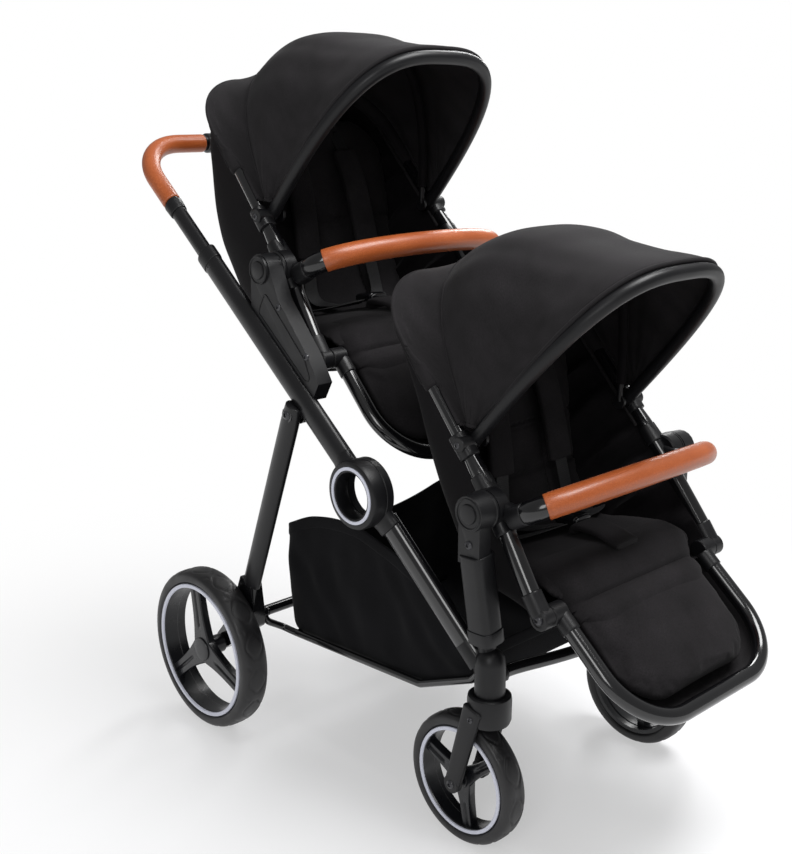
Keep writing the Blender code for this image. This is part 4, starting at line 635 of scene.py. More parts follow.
@dataclass
class Wheel:
    """One wheel: a crowned tyre with wavy grooves, a deep barrel, three double-ribbed spokes, a white ring."""

    prefix: str
    body: str
    centre: tuple[float, float, float]
    out: int
    radius: float
    width: float
    ring_r: float
    ring_w: float
    hub_face: float
    first_spoke: float
    spoke_width: float = 0.0105

    @property
    def face(self) -> float:
        """How far the barrel's face lies from the wheel's middle."""
        return self.width / 2 * 0.86

    @property
    def rim_r(self) -> float:
        """Radius of the barrel's outside, under the tyre."""
        return self.ring_r + 0.0005

    def build(self) -> None:
        """Build the tyre, the wheel and the ring, and stand them for their nodes."""
        for made, node, slot in ((self.tyre(), "tyre", "tyre_black"), (self.wheel(), "wheel", "wheel_black"),
                                 (self.ring(), "ring", "ring_white")):
            stand_for(made, f"{self.prefix}_{node}", self.body, slot)

    def tyre(self) -> bpy.types.Object:
        """The tyre: radius = crowned profile less grooves.

        A groove's depth at (angle, distance) is d exp(-((distance - path(angle)) / w)^2). Two paths wave
        against each other along the tread, and lobes leave them towards the shoulders.
        """
        half = self.width / 2
        t = np.linspace(0, 2 * math.pi, 288, endpoint=False)[:, None]
        phi = np.radians(np.linspace(-90, 90, 45))
        height = self.radius - self.rim_r - 0.004
        d = half * powered(np.sin(phi), 0.62)
        r = self.rim_r + 0.004 + height * np.cos(phi) ** 0.55
        d = np.concatenate([[-self.face], d, [self.face]])[None]
        r = np.concatenate([[self.rim_r + 0.0003], r, [self.rim_r + 0.0003]])[None]
        waves = round(self.radius * 2 * math.pi / 0.062)
        crown = np.clip((r - self.radius * 0.955) / (self.radius * 0.045), 0, 1)
        cut = np.zeros(np.broadcast_shapes(t.shape, d.shape))
        for sign, phase in ((1, 0.0), (-1, math.pi)):
            path = sign * half * 0.36 + half * 0.30 * np.sin(waves * t + phase)
            cut = np.maximum(cut, np.exp(-((d - path) / 0.0016) ** 2))
        lobe = np.exp(-(np.sin(waves * t / 2 + d * 40) / 0.16) ** 2) * (np.abs(d) > half * 0.5)
        cut = np.maximum(cut, lobe * 0.8)
        r = r - 0.0014 * cut * crown
        x = self.centre[0] + self.out * d + 0 * t
        points = np.stack([x, self.centre[1] + r * np.cos(t), self.centre[2] + r * np.sin(t)], -1)
        uv = np.stack([t * self.radius + 0 * d, d + 0 * t], -1)
        made = mesh_object(self.prefix + "_tyre_treaded", points, grid_faces(288, d.shape[1], True, True), TYRE, uv,
                           60)
        return facing_out(made)

    def wheel(self) -> bpy.types.Object:
        """Barrel, hub, cap and three spokes, joined."""
        half, rim = self.width / 2, self.rim_r
        face, inner = self.face, rim - 0.0065
        x0, o = self.centre[0], self.out
        at = (0.0, self.centre[1], self.centre[2])
        a = [(inner, -face), (rim, -face), (rim, face - 0.0002), (inner + 0.0015, face - 0.0002),
             (inner, face - 0.002),
             (inner - 0.0012, 0.002), (inner - 0.0012, -0.004), (inner, -0.006)]
        barrel = turned("barrel", [(r, x0 + o * d) for r, d in a], at, WHEEL, 96)
        hub = inner * 0.185
        top = min(self.hub_face, face)
        low = -min(half, 0.0235)
        b = [(0, low), (hub * 0.72, low), (hub * 0.78, low + 0.002), (hub * 0.80, top - 0.012), (hub, top - 0.006),
             (hub, top - 0.0022), (hub * 0.96, top - 0.0012), (hub * 0.80, top - 0.0004), (hub * 0.5, top), (0, top)]
        core = turned("core", [(r, x0 + o * d) for r, d in b], at, WHEEL, 64)
        spokes = [self.spoke(self.first_spoke + 120 * k, hub * 0.50, inner + 0.002, top - 0.0035) for k in range(3)]
        return joined(self.prefix + "_wheel_moulded", [barrel, core, *spokes])

    def spoke(self, degrees: float, start: float, end: float, top: float) -> bpy.types.Object:
        """One spoke: half-width = s + f exp(-(r - start) / 0.012), its face split by a groove between two ribs."""
        r = np.linspace(0, 1, 28)[:, None]
        radius = start + (end - start) * r
        foot = start * 1.05 * np.exp(-((radius - start) / (0.30 * end)) ** 1.3)
        half = self.spoke_width * (0.86 + 0.06 * r ** 2) + foot
        across = np.array([-1, -0.98, -0.9, -0.7, -0.45, -0.26, -0.2, -0.12, 0, 0.12, 0.2, 0.26, 0.45, 0.7, 0.9, 0.98,
                           1])[None]
        groove = np.exp(-((np.abs(across * half) / 0.0024) ** 4)) * np.clip((radius - start - 0.026) / 0.008, 0, 1)
        edge = np.clip((np.abs(across) - 0.86) / 0.14, 0, 1) ** 2
        face = top - 0.0024 * edge - 0.0034 * groove - 0.0012 * r
        back = np.full_like(face, top - 0.0155)
        u = across * half
        front = np.stack([face, u, radius + 0 * u], -1)
        rear = np.stack([back, u * 0.8, radius + 0 * u], -1)[:, ::-1]
        ring = np.concatenate([front, rear], 1)
        t = math.radians(degrees)
        y = self.centre[1] + ring[..., 2] * math.cos(t) - ring[..., 1] * math.sin(t)
        z = self.centre[2] + ring[..., 2] * math.sin(t) + ring[..., 1] * math.cos(t)
        points = np.stack([self.centre[0] + self.out * ring[..., 0], y, z], -1)
        rows, cols = points.shape[:2]
        faces = grid_faces(rows, cols, False, True).tolist()
        faces += [list(range(cols))[::-1], list(range((rows - 1) * cols, rows * cols))]
        return facing_out(mesh_object("spoke", points, faces, WHEEL, None, 30))

    def ring(self) -> bpy.types.Object:
        """The white ring: a flat band with rounded corners, proud of the barrel's face."""
        lo, hi = self.ring_r - self.ring_w, self.ring_r
        f, top, c = self.face + 0.0003, self.width / 2, 0.0012
        turn = np.radians([0, 30, 60, 90])
        outer = [(hi - c + c * math.cos(t), top - c + c * math.sin(t)) for t in turn]
        inner = [(lo + c - c * math.cos(t), top - c + c * math.sin(t)) for t in turn[::-1]]
        profile = [(lo, f), (hi, f)] + outer + inner
        return turned(self.prefix + "_ring_smooth", [(r, self.centre[0] + self.out * d) for r, d in profile],
                      (0.0, self.centre[1], self.centre[2]), RING, 120)


@dataclass
class Chassis:
    """The folding frame: main tubes, ring hubs, casters, legs, cross bars, with their bolts."""

    frame: dict
    at: Layout

    def build(self) -> None:
        """Build both sides, then what crosses between them."""
        for side, s in SIDES.items():
            self.upper_tube(side, s)
            self.lower_tube(side, s)
            self.ring_hub(side, s)
            for node, body in (("caster_housing_" + side, "lower_frame"), ("seat_post_" + side, "lower_frame"),
                               ("seat_arm_" + side, "upper_frame")):
                on(refined(self.frame, node, NYLON), body, "plastic_black")
            self.fork(side, s)
            self.carrier_details(side, s)
            self.post_sleeve(side, s)
            on(refined(self.frame, "rear_leg_" + side, ENAMEL), "rear_leg_frame", "frame_black")
            top, foot = self.at.point(*self.at.leg_pin), self.at.point(0.2834, -0.2337)
            line = np.linspace(-0.045, 0.97, 30)[:, None]
            path = side_points(s * (0.250 - 0.010 * line[:, 0]), top + (foot - top) * line)
            size = np.stack([np.ones(30), 1.0 - 0.16 * np.exp(-((line[:, 0] + 0.045) / 0.05) ** 2)], 1)
            on(self.oval("rear_leg_%s_oval" % side, path, 0.0350, 0.0225, scale=size), "rear_leg_frame",
               "frame_black")
            self.bolts(side, s)
        self.cross_bars()
        on(refined(self.frame, "brake_pedal", NYLON), "brake", "plastic_black")

    def oval(self, name: str, path: Array, depth: float, width: float, finish: Finish = SATIN,
             **more: object) -> bpy.types.Object:
        """An oval tube whose width lies across the pram."""
        return sweep(name, path, ring_profile(width / 2, depth / 2, 28), ACROSS, finish, **more)

    def upper_tube(self, side: str, s: int) -> None:
        """The upper tube with its plastic end sleeve, and the lug of the rear leg kept from the CAD."""
        run = np.linspace(0.0480, 0.478, 40)
        made = self.oval("upper_tube_%s_oval" % side, side_points(s * self.at.tube_x, self.at.on_slope(run)), 0.0385,
                         0.0255)
        made = joined("upper_tube_%s_painted" % side, [made, *self.lug(s)])
        stand_for(made, "upper_tube_" + side, "upper_frame", "frame_black")
        run = np.linspace(0.457, 0.4815, 12)
        sleeve = sweep("upper_tube_%s_sleeve" % side, side_points(s * self.at.tube_x, self.at.on_slope(run)),
                       ring_profile(0.0140, 0.0206, 28), ACROSS, NYLON)
        on(sleeve, "upper_frame", "plastic_black")

    def post_sleeve(self, side: str, s: int) -> None:
        """The moulded sleeve round the front seat's post, with a raised collar at its lower end."""
        run = np.linspace(0, 1, 14)
        path = np.stack([s * (0.2045 + 0.0165 * run), -0.2768 + 0.0062 * run, 0.316 + 0.129 * run], 1)
        made = sweep("sleeve", path, ring_profile(0.0182, 0.0200, 36, 4.0), ACROSS, NYLON, cap=0.002)
        low = sweep("collar", path[:3], ring_profile(0.0195, 0.0213, 36, 4.0), ACROSS, NYLON, cap=0.001)
        on(joined("seat_post_%s_sleeve" % side, [made, low]), "lower_frame", "plastic_black")

    def lug(self, s: int) -> list[bpy.types.Object]:
        """The round lug and the pin that carry the rear leg."""
        pin = self.at.point(*self.at.leg_pin)
        at = (0.0, pin[0], pin[1])
        x = s * 0.2285
        plate = turned("lug", [(0, x), (0.0160, x), (0.0168, x + s * 0.0008), (0.0168, s * 0.2380),
                               (0.0160, s * 0.2388),
                               (0, s * 0.2388)], at, ENAMEL, 40)
        up = self.at.on_slope(np.array([0.1735]))[0]
        neck = sweep("neck", side_points(s * 0.2336, np.linspace(pin, pin + (up - pin) * 0.75, 8)),
                     ring_profile(0.005, 0.0200, 24, 4.0),
                     ACROSS, NYLON, np.stack([np.ones(8), np.linspace(0.75, 1.5, 8)], 1))
        shaft = turned("shaft", [(0, s * 0.231), (0.005, s * 0.231), (0.005, s * 0.262), (0, s * 0.262)], at, ENAMEL,
                       24)
        return [plate, neck, shaft]

    def lower_tube(self, side: str, s: int) -> None:
        """The lower tube from the ring hub's socket to the caster housing."""
        foot = np.array(self.at.lower_foot)
        length = np.linalg.norm(foot)
        run = np.linspace(0.0480, length - 0.004, 30)[:, None]
        yz = self.at.hub + foot / length * run
        x = s * (0.232 + (0.206 - 0.232) * run[:, 0] / length)
        made = self.oval("lower_tube_%s_oval" % side, side_points(x, yz), 0.0360, 0.0250, ENAMEL)
        stand_for(made, "lower_tube_" + side, "lower_frame", "frame_black")

    def ring_hub(self, side: str, s: int) -> None:
        """The two halves of the ring hub and the white ring, which is a full round one."""
        centre = (0.0, *self.at.hub)
        a, b = s * 0.2422, s * 0.2662
        outer = [(0.0345, a), (0.0490, a), (0.0500, a + s * 0.001), (0.0500, b - s * 0.0050),
                 (0.0485, b - s * 0.0015), (0.0460, b - s * 0.0002),
                 (0.0425, b), (0.0415, b - s * 0.0012), (0.0365, b - s * 0.0012), (0.0358, b),
                 (0.0340, b - s * 0.0008),
                 (0.0330, b - s * 0.0040), (0.0325, a + s * 0.004)]
        half = turned("outer", outer, centre, NYLON, 128)
        stub = self.stub("stub", self.at.way, s * self.at.tube_x, s * 0.2435)
        made = joined("hub_outer_%s_half" % side, [half, stub])
        stand_for(made, "hub_outer_" + side, "upper_frame", "plastic_black")
        c = s * 0.2280
        inner = [(0.0345, c + s * 0.001), (0.0360, c), (0.0478, c), (0.0492, c + s * 0.0014),
                 (0.0492, a - s * 0.0016), (0.0484, a - s * 0.0008),
                 (0.0345, a - s * 0.0008)]
        foot = np.array(self.at.lower_foot)
        made = joined("hub_inner_%s_half" % side, [turned("inner", inner, centre, NYLON, 128),
                                                   self.stub("stub", unit(foot), s * 0.2300, s * 0.2350)])
        stand_for(made, "hub_inner_" + side, "lower_frame", "plastic_black")
        x = s * 0.2665
        lo, hi = 0.0367, 0.0414
        ring = turned("hub_ring_%s_smooth" % side, [(lo, x - s * 0.0017), (hi, x - s * 0.0017), (hi, x + s * 0.0004),
                      (hi - 0.0009, x + s * 0.0010), (lo + 0.0009, x + s * 0.0010), (lo, x + s * 0.0004)], centre,
                      RING, 128)
        stand_for(ring, "hub_ring_" + side, "upper_frame", "ring_white")

    def stub(self, name: str, way: Array, x: float, x_in: float) -> bpy.types.Object:
        """The short flared neck between a hub half and the tube that it carries."""
        run = np.linspace(0.0400, 0.0640, 12)
        flare = 1.0 + 0.20 * np.clip((0.056 - run) / 0.016, 0, 1) ** 2
        path = side_points(np.linspace(x_in, x, 12), self.at.hub + way * run[:, None])
        return sweep(name, path, ring_profile(0.0132, 0.0198, 32), ACROSS, NYLON,
                     np.stack([np.ones(12) * 0.92, flare], 1))

    def fork(self, side: str, s: int) -> None:
        """The caster fork: a round-shouldered crown on its stem, two tapering legs and the axle."""
        axle = joint_at(self.frame, "front_wheel_%s_spin" % side)
        x0, y0 = s * self.at.caster_x, self.at.hub[0] + self.at.caster_back
        crown = [(0, 0.1955), (0.0235, 0.1955), (0.0285, 0.1985), (0.0306, 0.2040), (0.0308, 0.2330),
                 (0.0298, 0.2385), (0.0270, 0.2402),
                 (0.0228, 0.2402), (0.0222, 0.2395), (0.0222, 0.2253), (0.0075, 0.2253), (0.0075, 0.2740),
                 (0, 0.2745)]
        pieces = [turned("crown", crown, (x0, y0, 0.0), NYLON, 80, "Z")]
        top = np.array([y0 + 0.003, 0.2260])
        run = np.linspace(0, 1, 26)[:, None]
        yz = top + (axle - top) * run
        size = np.stack([np.ones(26), 1.02 - 0.18 * run[:, 0]], 1)
        for k in (-1, 1):
            x = x0 + k * 0.0289
            pieces.append(sweep("leg", side_points(x, yz), ring_profile(0.0054, 0.0158, 32, 3.4), ACROSS, NYLON, size,
                                cap=0.003))
            a, b = x - k * 0.0054, x + k * 0.0054
            pieces.append(turned("end", [(0, a), (0.0126, a), (0.0134, a + k * 0.0008), (0.0134, b - k * 0.0014),
                                         (0.0120, b), (0, b)],
                                 (0.0, *axle), NYLON, 48))
        pieces.append(turned("axle", [(0, x0 - 0.030), (0.0048, x0 - 0.030), (0.0048, x0 + 0.030), (0, x0 + 0.030)],
                             (0.0, *axle), BOLT, 24))
        made = joined("caster_fork_%s_moulded" % side, pieces)
        stand_for(made, "caster_fork_" + side, "caster_" + side, "plastic_black")

    def carrier_details(self, side: str, s: int) -> None:
        """Raised caps on the seat carriers' discs, and the ribbed panel of the rear carrier's web."""
        rear, front = joint_at(self.frame, "rear_seat_tilt"), joint_at(self.frame, "front_seat_tilt")
        for name, hub, x, body in (("rear", rear, 0.2412, "upper_frame"), ("front", front, 0.2382, "lower_frame")):
            a = s * x
            cap = [(0, a), (0.0132, a), (0.0138, a + s * 0.0010), (0.0130, a + s * 0.0026), (0.0118, a + s * 0.0030),
                   (0, a + s * 0.0032)]
            rim = [(0.0185, a), (0.0215, a), (0.0212, a + s * 0.0012), (0.0202, a + s * 0.0018),
                   (0.0190, a + s * 0.0012)]
            made = joined("carrier_%s_caps_%s" % (name, side),
                          [turned("cap", cap, (0.0, *hub), NYLON, 56), turned("rim", rim, (0.0, *hub), NYLON, 56)])
            on(made, body, "plastic_black")
        corners = [(0.245, 0.0245), (0.330, 0.0245), (0.336, 0.0600), (0.210, 0.0490), (0.180, 0.0330),
                   (0.190, 0.0245), (0.245, 0.0245)]
        flat = evenly(filleted(corners, 0.0055, 6), 160)[:-1]
        up = np.array([-math.sin(self.at.slope), math.cos(self.at.slope)])
        yz = self.at.on_slope(flat[:, 0]) + flat[:, 1:] * up
        rib = sweep("carrier_rib_" + side, side_points(s * 0.2388, yz), ring_profile(0.0012, 0.0012, 10), ACROSS,
                    NYLON, closed=True)
        on(rib, "upper_frame", "plastic_black")

    def bolts(self, side: str, s: int) -> None:
        """Bolt heads on the arms, the hubs, the legs and the casters."""
        rear, front = joint_at(self.frame, "rear_seat_tilt"), joint_at(self.frame, "front_seat_tilt")
        way = self.at.way
        for name, yz, x, r, body in (
                ("arm_upper", rear - way * 0.062 + [0.004, -0.012], 0.2388, 0.0052, "upper_frame"),
                ("arm_lower", rear - way * 0.150 + [0.010, -0.022], 0.2388, 0.0052, "upper_frame"),
                ("post_upper", front + [0.002, -0.044], 0.2348, 0.0062, "lower_frame"),
                ("leg_pivot", self.at.point(*self.at.leg_pin), 0.2600, 0.0078, "rear_leg_frame"),
                ("tube_stop", self.at.on_slope(np.array([0.452]))[0], 0.2497, 0.0034, "upper_frame")):
            on(bolt("bolt_%s_%s" % (name, side), (s * x, *yz), s, r), body, "plastic_black")
        axle = joint_at(self.frame, "front_wheel_%s_spin" % side)
        outer = self.at.caster_x + 0.0343
        on(bolt("bolt_axle_" + side, (s * (outer - 0.0004), *axle), s, 0.0066), "caster_" + side, "plastic_black")
        on(bolt("bolt_crown_" + side, (s * (self.at.caster_x + 0.0342), axle[0] - 0.0355, 0.2100), s, 0.0046),
           "caster_" + side, "plastic_black")

    def cross_bars(self) -> None:
        """The bowed front bar and the straight tube of the rear axle."""
        y0 = self.at.hub[0] + self.at.caster_back
        x = np.linspace(-0.1757, 0.1757, 60)
        bow = 0.030 * np.clip(1 - (x / 0.1667) ** 2, 0, 1) ** 1.5
        path = np.stack([x, y0 - bow, np.full_like(x, 0.262)], 1)
        bar = sweep("front_cross_bar_round", path, ring_profile(0.009, 0.009, 24), UPWARD, ENAMEL)
        stand_for(bar, "front_cross_bar", "lower_frame", "frame_black")
        cross = self.at.point(0.317, -0.300)
        x = np.linspace(-0.2337, 0.2337, 12)
        path = np.stack([x, np.full_like(x, cross[0]), np.full_like(x, cross[1])], 1)
        axle = sweep("rear_axle_round", path, ring_profile(0.009, 0.009, 24), UPWARD, ENAMEL)
        stand_for(axle, "rear_axle", "rear_leg_frame", "frame_black")


@dataclass
class Handle:
    """The looped push handle: tube, centre piece with its button, two leatherette grips."""

    frame: dict
    at: Layout
    top: float = 0.738
    corner: float = 0.085

    def loop(self) -> Array:
        """The centreline as (x, distance up the slope)."""
        x = self.at.tube_x
        return filleted([(-x, 0.380), (-x, self.top), (x, self.top), (x, 0.380)], self.corner, 16)

    def in_space(self, flat: Array) -> Array:
        """Points of (x, distance up the slope) put into space."""
        yz = self.at.on_slope(flat[:, 1])
        return np.column_stack([flat[:, 0], yz])

    def build(self) -> None:
        """Build the tube, centre piece, grips and button."""
        square = np.array([0, -math.sin(self.at.slope), math.cos(self.at.slope)])
        path = evenly(self.loop(), 160)
        tube = sweep("loop", self.in_space(path), ring_profile(0.0138, 0.0112, 28), square, SATIN)
        middle = np.column_stack([np.linspace(-0.0977, 0.0977, 30), np.full(30, self.top)])
        centre = sweep("centre", self.in_space(middle), ring_profile(0.0160, 0.0160, 36, 2.3), square, GLOSS_NYLON,
                       cap=0.003)
        pieces = [tube, centre]
        for s in SIDES.values():
            run = np.column_stack([np.full(8, s * self.at.tube_x), np.linspace(0.574, 0.5947, 8)])
            pieces.append(sweep("collar", self.in_space(run), ring_profile(0.0152, 0.0146, 32), square, NYLON,
                                np.linspace(0.96, 1.03, 8)))
        made = joined("handle_tube_loop", pieces)
        stand_for(made, "handle_tube", "handle", "frame_black")
        on(refined(self.frame, "handle_button", NYLON, 0.0012), "handle_release", "plastic_black")
        for side, s in SIDES.items():
            self.grip(side, s, path, square)

    def grip(self, side: str, s: int, path: Array, square: Array) -> None:
        """One grip: leatherette round the bend, with a stitched seam along its underside."""
        half = path[(path[:, 0] * s > 0.0985) & (path[:, 1] > 0.5955)]
        half = evenly(half, 70)
        made = sweep("handle_grip_%s_wrapped" % side, self.in_space(half), ring_profile(0.0150, 0.0150, 36), square,
                     LEATHER, cap=0.003)
        stand_for(made, "handle_grip_" + side, "handle", "leather_tan")
        on(stitching("handle_grip_%s_stitches" % side, self.in_space(half), -square, 0.0150), "handle", "leather_tan")


def stitching(name: str, path: Array, down: Array, radius: float, pitch: float = 0.0045) -> bpy.types.Object:
    """A row of stitches that stand on a tube's surface, along its path.

    Each stitch is a small six-sided capsule; the rows of capsules are one array.

    Args:
        name: the piece's name.
        path: the tube's centreline.
        down: from the centreline towards the seam.
        radius: the tube's radius.
        pitch: distance from stitch to stitch.

    Returns:
        The stitches as one object.
    """
    run = np.linalg.norm(np.diff(path, axis=0), axis=1).sum()
    spots = evenly(path, max(3, round(run / pitch)))[1:-1]
    along = unit(np.gradient(spots, axis=0))
    out = unit(np.broadcast_to(down, spots.shape) - along * (along @ np.asarray(down))[:, None])
    side = np.cross(along, out)
    u = np.array([-0.5, -0.42, 0.42, 0.5])[:, None] * pitch * 0.78
    w = np.array([0.02, 1, 1, 0.02])[:, None] * 0.00055
    t = np.linspace(0, 2 * math.pi, 6, endpoint=False)[None]
    local = np.stack([u + 0 * t, w * np.cos(t), w * np.sin(t) + radius], -1)
    basis = np.stack([along, side, out], 1)
    points = spots[:, None, None] + np.einsum("rck,nkd->nrcd", local, basis)
    one = grid_faces(4, 6, False, True)
    faces = (one[None] + 24 * np.arange(len(spots))[:, None, None]).reshape(-1, 4)
    return facing_out(mesh_object(name, points, faces, THREAD))


# Seats
@dataclass
class Seat:
    """One seat unit: frame, bucket, pad, harness, calf rest, hood with two bows, bumper bar.

    The back tube runs up at the lean, half and half_top wide at its foot and top with corners of the bend;
    the pad's line is given from the hub in the side plane, front edge first; back_panel is the share of the
    hood's length behind its seam.
    """

    frame: dict
    name: str
    calf_drop: float
    depths: tuple[tuple[float, float], ...]
    taper: float
    lean: float = math.radians(48.5)
    back: float = 0.353
    bend: float = 0.096
    half: float = 0.186
    half_top: float = 0.176
    tube_r: float = 0.0125
    set_back: float = 0.0103
    calf_half: float = 0.164
    calf_length: float = 0.187
    calf_bend: float = 0.09
    back_panel: float = 0.165
    pad_crown: float = 0.010
    pad_line: tuple[tuple[float, float], ...] = (
        (-0.0945, -0.1175), (-0.068, -0.0985), (-0.030, -0.098), (0.050, -0.106), (0.086, -0.099), (0.112, -0.068),
        (0.131, -0.020), (0.144, 0.035), (0.156, 0.095), (0.174, 0.160), (0.203, 0.218))

    def __post_init__(self) -> None:
        """Work out the seat's own directions from its place in the record."""
        self.hub = joint_at(self.frame, self.name + "_tilt")
        self.hinge = joint_at(self.frame, self.name + "_calf_drop")
        self.hood_at = joint_at(self.frame, self.name + "_hood_fold")
        self.way = np.array([math.cos(self.lean), math.sin(self.lean)])
        self.down = unit(self.hinge - self.hub)
        self.rear = np.array([self.way[1], -self.way[0]])
        self.square = np.array([0.0, *self.rear])

    def place(self, x: Array, along: Array, behind: Array) -> Array:
        """Points from distances across, up the back and behind it."""
        yz = self.hub + np.asarray(along)[..., None] * self.way + np.asarray(behind)[..., None] * self.rear
        return np.concatenate([np.broadcast_to(np.asarray(x)[..., None], (*yz.shape[:-1], 1)), yz], -1)

    def build(self) -> None:
        """Build every piece of the seat."""
        self.tube_frame()
        self.bucket()
        self.pad()
        self.harness()
        self.calf_rest()
        self.bows()
        self.hood()
        self.bumper()

    # Frame
    def frame_path(self) -> Array:
        """Centreline: up from one calf hinge, round the back, down to the other."""
        w, t, top = self.half, self.half_top, self.back
        x = 0.1945
        shares = ((x, 1.0), (x, 0.83), (x - 0.002, 0.6), (w + 0.003, 0.3))
        lower = [(across, *(self.hub + (self.hinge - self.hub) * share)) for across, share in shares]
        loop = filleted([(w, 0), (t, top), (-t, top), (-w, 0)], self.bend, 18)
        loop = self.place(loop[:, 0], loop[:, 1], 0 * loop[:, 1])
        side = np.array(lower)
        path = np.concatenate([side, loop, (side * [-1, 1, 1])[::-1]])
        return smooth_path(path, 260)

    def tube_frame(self) -> None:
        """The bent tube and its moulded hubs, sockets, clamps and knuckles."""
        body = self.name
        path = self.frame_path()
        high = (path[:, 1:] - self.hub) @ self.way
        size = 1.0 - 0.20 * np.clip((high - 0.05) / 0.03, 0, 1)
        tube = sweep("tube", path, ring_profile(self.tube_r, 0.0122, 30), self.square, ENAMEL, size)
        pieces = [tube]
        for s in SIDES.values():
            pieces += self.fittings(s)
        made = joined(self.name + "_frame_tube", pieces)
        stand_for(made, self.name + "_frame", body, "frame_black")
        for side, s in SIDES.items():
            on(bolt("%s_bolt_hood_%s" % (body, side), (s * 0.1995, *(self.hood_at + self.rear * 0.002)), s, 0.0050),
               body, "plastic_black")
            on(bolt("%s_bolt_knuckle_%s" % (body, side), (s * 0.2042, *self.hinge), s, 0.0070), body, "plastic_black")

    def fittings(self, s: int) -> list[bpy.types.Object]:
        """The mouldings on one side, each turned or swept about its own axis."""
        made = []
        at = (0.0, *self.hub)
        a, b = s * 0.1845, s * 0.2122
        made.append(turned("disc", [(0, a), (0.0235, a), (0.026, a + s * 0.0025), (0.026, b - s * 0.006),
                                    (0.0248, b - s * 0.006),
                                    (0.0248, b - s * 0.0045), (0.026, b - s * 0.0045), (0.026, b - s * 0.0018),
                                    (0.0245, b),
                                    (0.0188, b), (0.0180, b - s * 0.0012), (0.0165, b - s * 0.0012), (0.0158, b),
                                    (0, b)], at, NYLON, 64))
        x = s * 0.1945
        knuckle = [(0, x - s * 0.0100), (0.0135, x - s * 0.0100), (0.015, x - s * 0.0085), (0.015, x + s * 0.0080),
                   (0.0135, x + s * 0.0098),
                   (0.0102, x + s * 0.0098), (0.0096, x + s * 0.0088), (0, x + s * 0.0088)]
        made.append(turned("knuckle", knuckle, (0.0, *self.hinge), NYLON, 48))
        down, length = self.down, np.linalg.norm(self.hinge - self.hub)
        run = np.linspace(length - 0.036, length - 0.004, 10)[:, None]
        made.append(sweep("sleeve", side_points(x, self.hub + down * run), ring_profile(0.0140, 0.0142, 30),
                          self.square, NYLON))
        run = np.linspace(0.018, 0.040, 8)[:, None]
        made.append(sweep("neck", side_points(s * 0.190, self.hub + down * run),
                          ring_profile(0.0124, 0.0150, 28, 2.6), self.square, NYLON))
        run = np.linspace(0.016, 0.046, 10)[:, None]
        made.append(sweep("collar", side_points(s * 0.1855, self.hub + self.way * run),
                          ring_profile(0.0128, 0.0148, 28, 2.6), self.square, NYLON,
                          np.linspace(1.05, 0.92, 10)))
        on_tube = (self.hood_at - self.hub) @ self.way
        run = np.linspace(on_tube - 0.020, on_tube + 0.016, 10)[:, None]
        made.append(sweep("clamp", side_points(s * 0.1845, self.hub + self.way * run),
                          ring_profile(0.0126, 0.0136, 28, 2.8), self.square, NYLON))
        made.append(turned("pivot", [(0, s * 0.172), (0.0098, s * 0.172), (0.0105, s * 0.1728), (0.0105, s * 0.1992),
                                     (0.0095, s * 0.2000),
                                     (0, s * 0.2000)], (0.0, *self.hood_at), NYLON, 40))
        made += self.socket(s)
        return made

    def socket(self, s: int) -> list[bpy.types.Object]:
        """The socket that takes the bumper bar's tongue, with a web back to the hub."""
        at, way = self.socket_line()
        run = np.linspace(-0.016, 0.0118, 12)[:, None]
        barrel = sweep("socket", side_points(s * 0.188, at + way * run), ring_profile(0.0148, 0.0156, 32, 2.5),
                       ACROSS, NYLON, cap=0.002)
        run = np.linspace(0, 1, 8)[:, None]
        web = sweep("web", side_points(s * 0.1885, self.hub + (at - way * 0.006 - self.hub) * run),
                    ring_profile(0.0100, 0.0128, 24, 3.0),
                    ACROSS, NYLON)
        return [barrel, web]

    def socket_line(self) -> tuple[Array, Array]:
        """The bumper socket's centre and the way the bar leaves it, in the side plane."""
        rise = math.radians(27.4)
        return self.hub + np.array([-0.045, -0.002]), np.array([-math.cos(rise), math.sin(rise)])

    # Soft bucket
    def rim_half(self, along: Array) -> Array:
        """Half-width of the rim along the back: straight sides drawn in, round top corners."""
        wide = self.half - 0.002 + (self.half_top - self.half) * np.clip(along / self.back, 0, 1)
        past = np.clip(along - (self.back - self.bend), 0, self.bend * 0.999)
        return wide - self.bend + np.sqrt(self.bend ** 2 - past ** 2)

    def depth(self, along: Array) -> Array:
        """Depth of the bucket behind its rim, a smooth curve through the seat's own depths."""
        fine = smooth_path([list(p) for p in self.depths], 400)
        return np.interp(along, fine[:, 0], fine[:, 1])

    def section(self, along: Array, phi: Array, inset: float, power: float = 5.0) -> tuple[Array, Array]:
        """A U-shaped section: x = w c^(2/p), depth = D s^(2/p), with w narrowing as it deepens.

        Args:
            along: distances up the back, a column.
            phi: angles from rim to rim, a row.
            inset: how far inside the outer face.
            power: how square the U is.

        Returns:
            Distances across and depths.
        """
        c, s = np.cos(phi), np.clip(np.sin(phi), 0, 1)
        deep = np.maximum(self.depth(along) - inset, 0.002) * s ** (2 / power)
        wide = (self.rim_half(along) - inset) * powered(c, 2 / power)
        return wide * (1 - self.taper * deep), deep

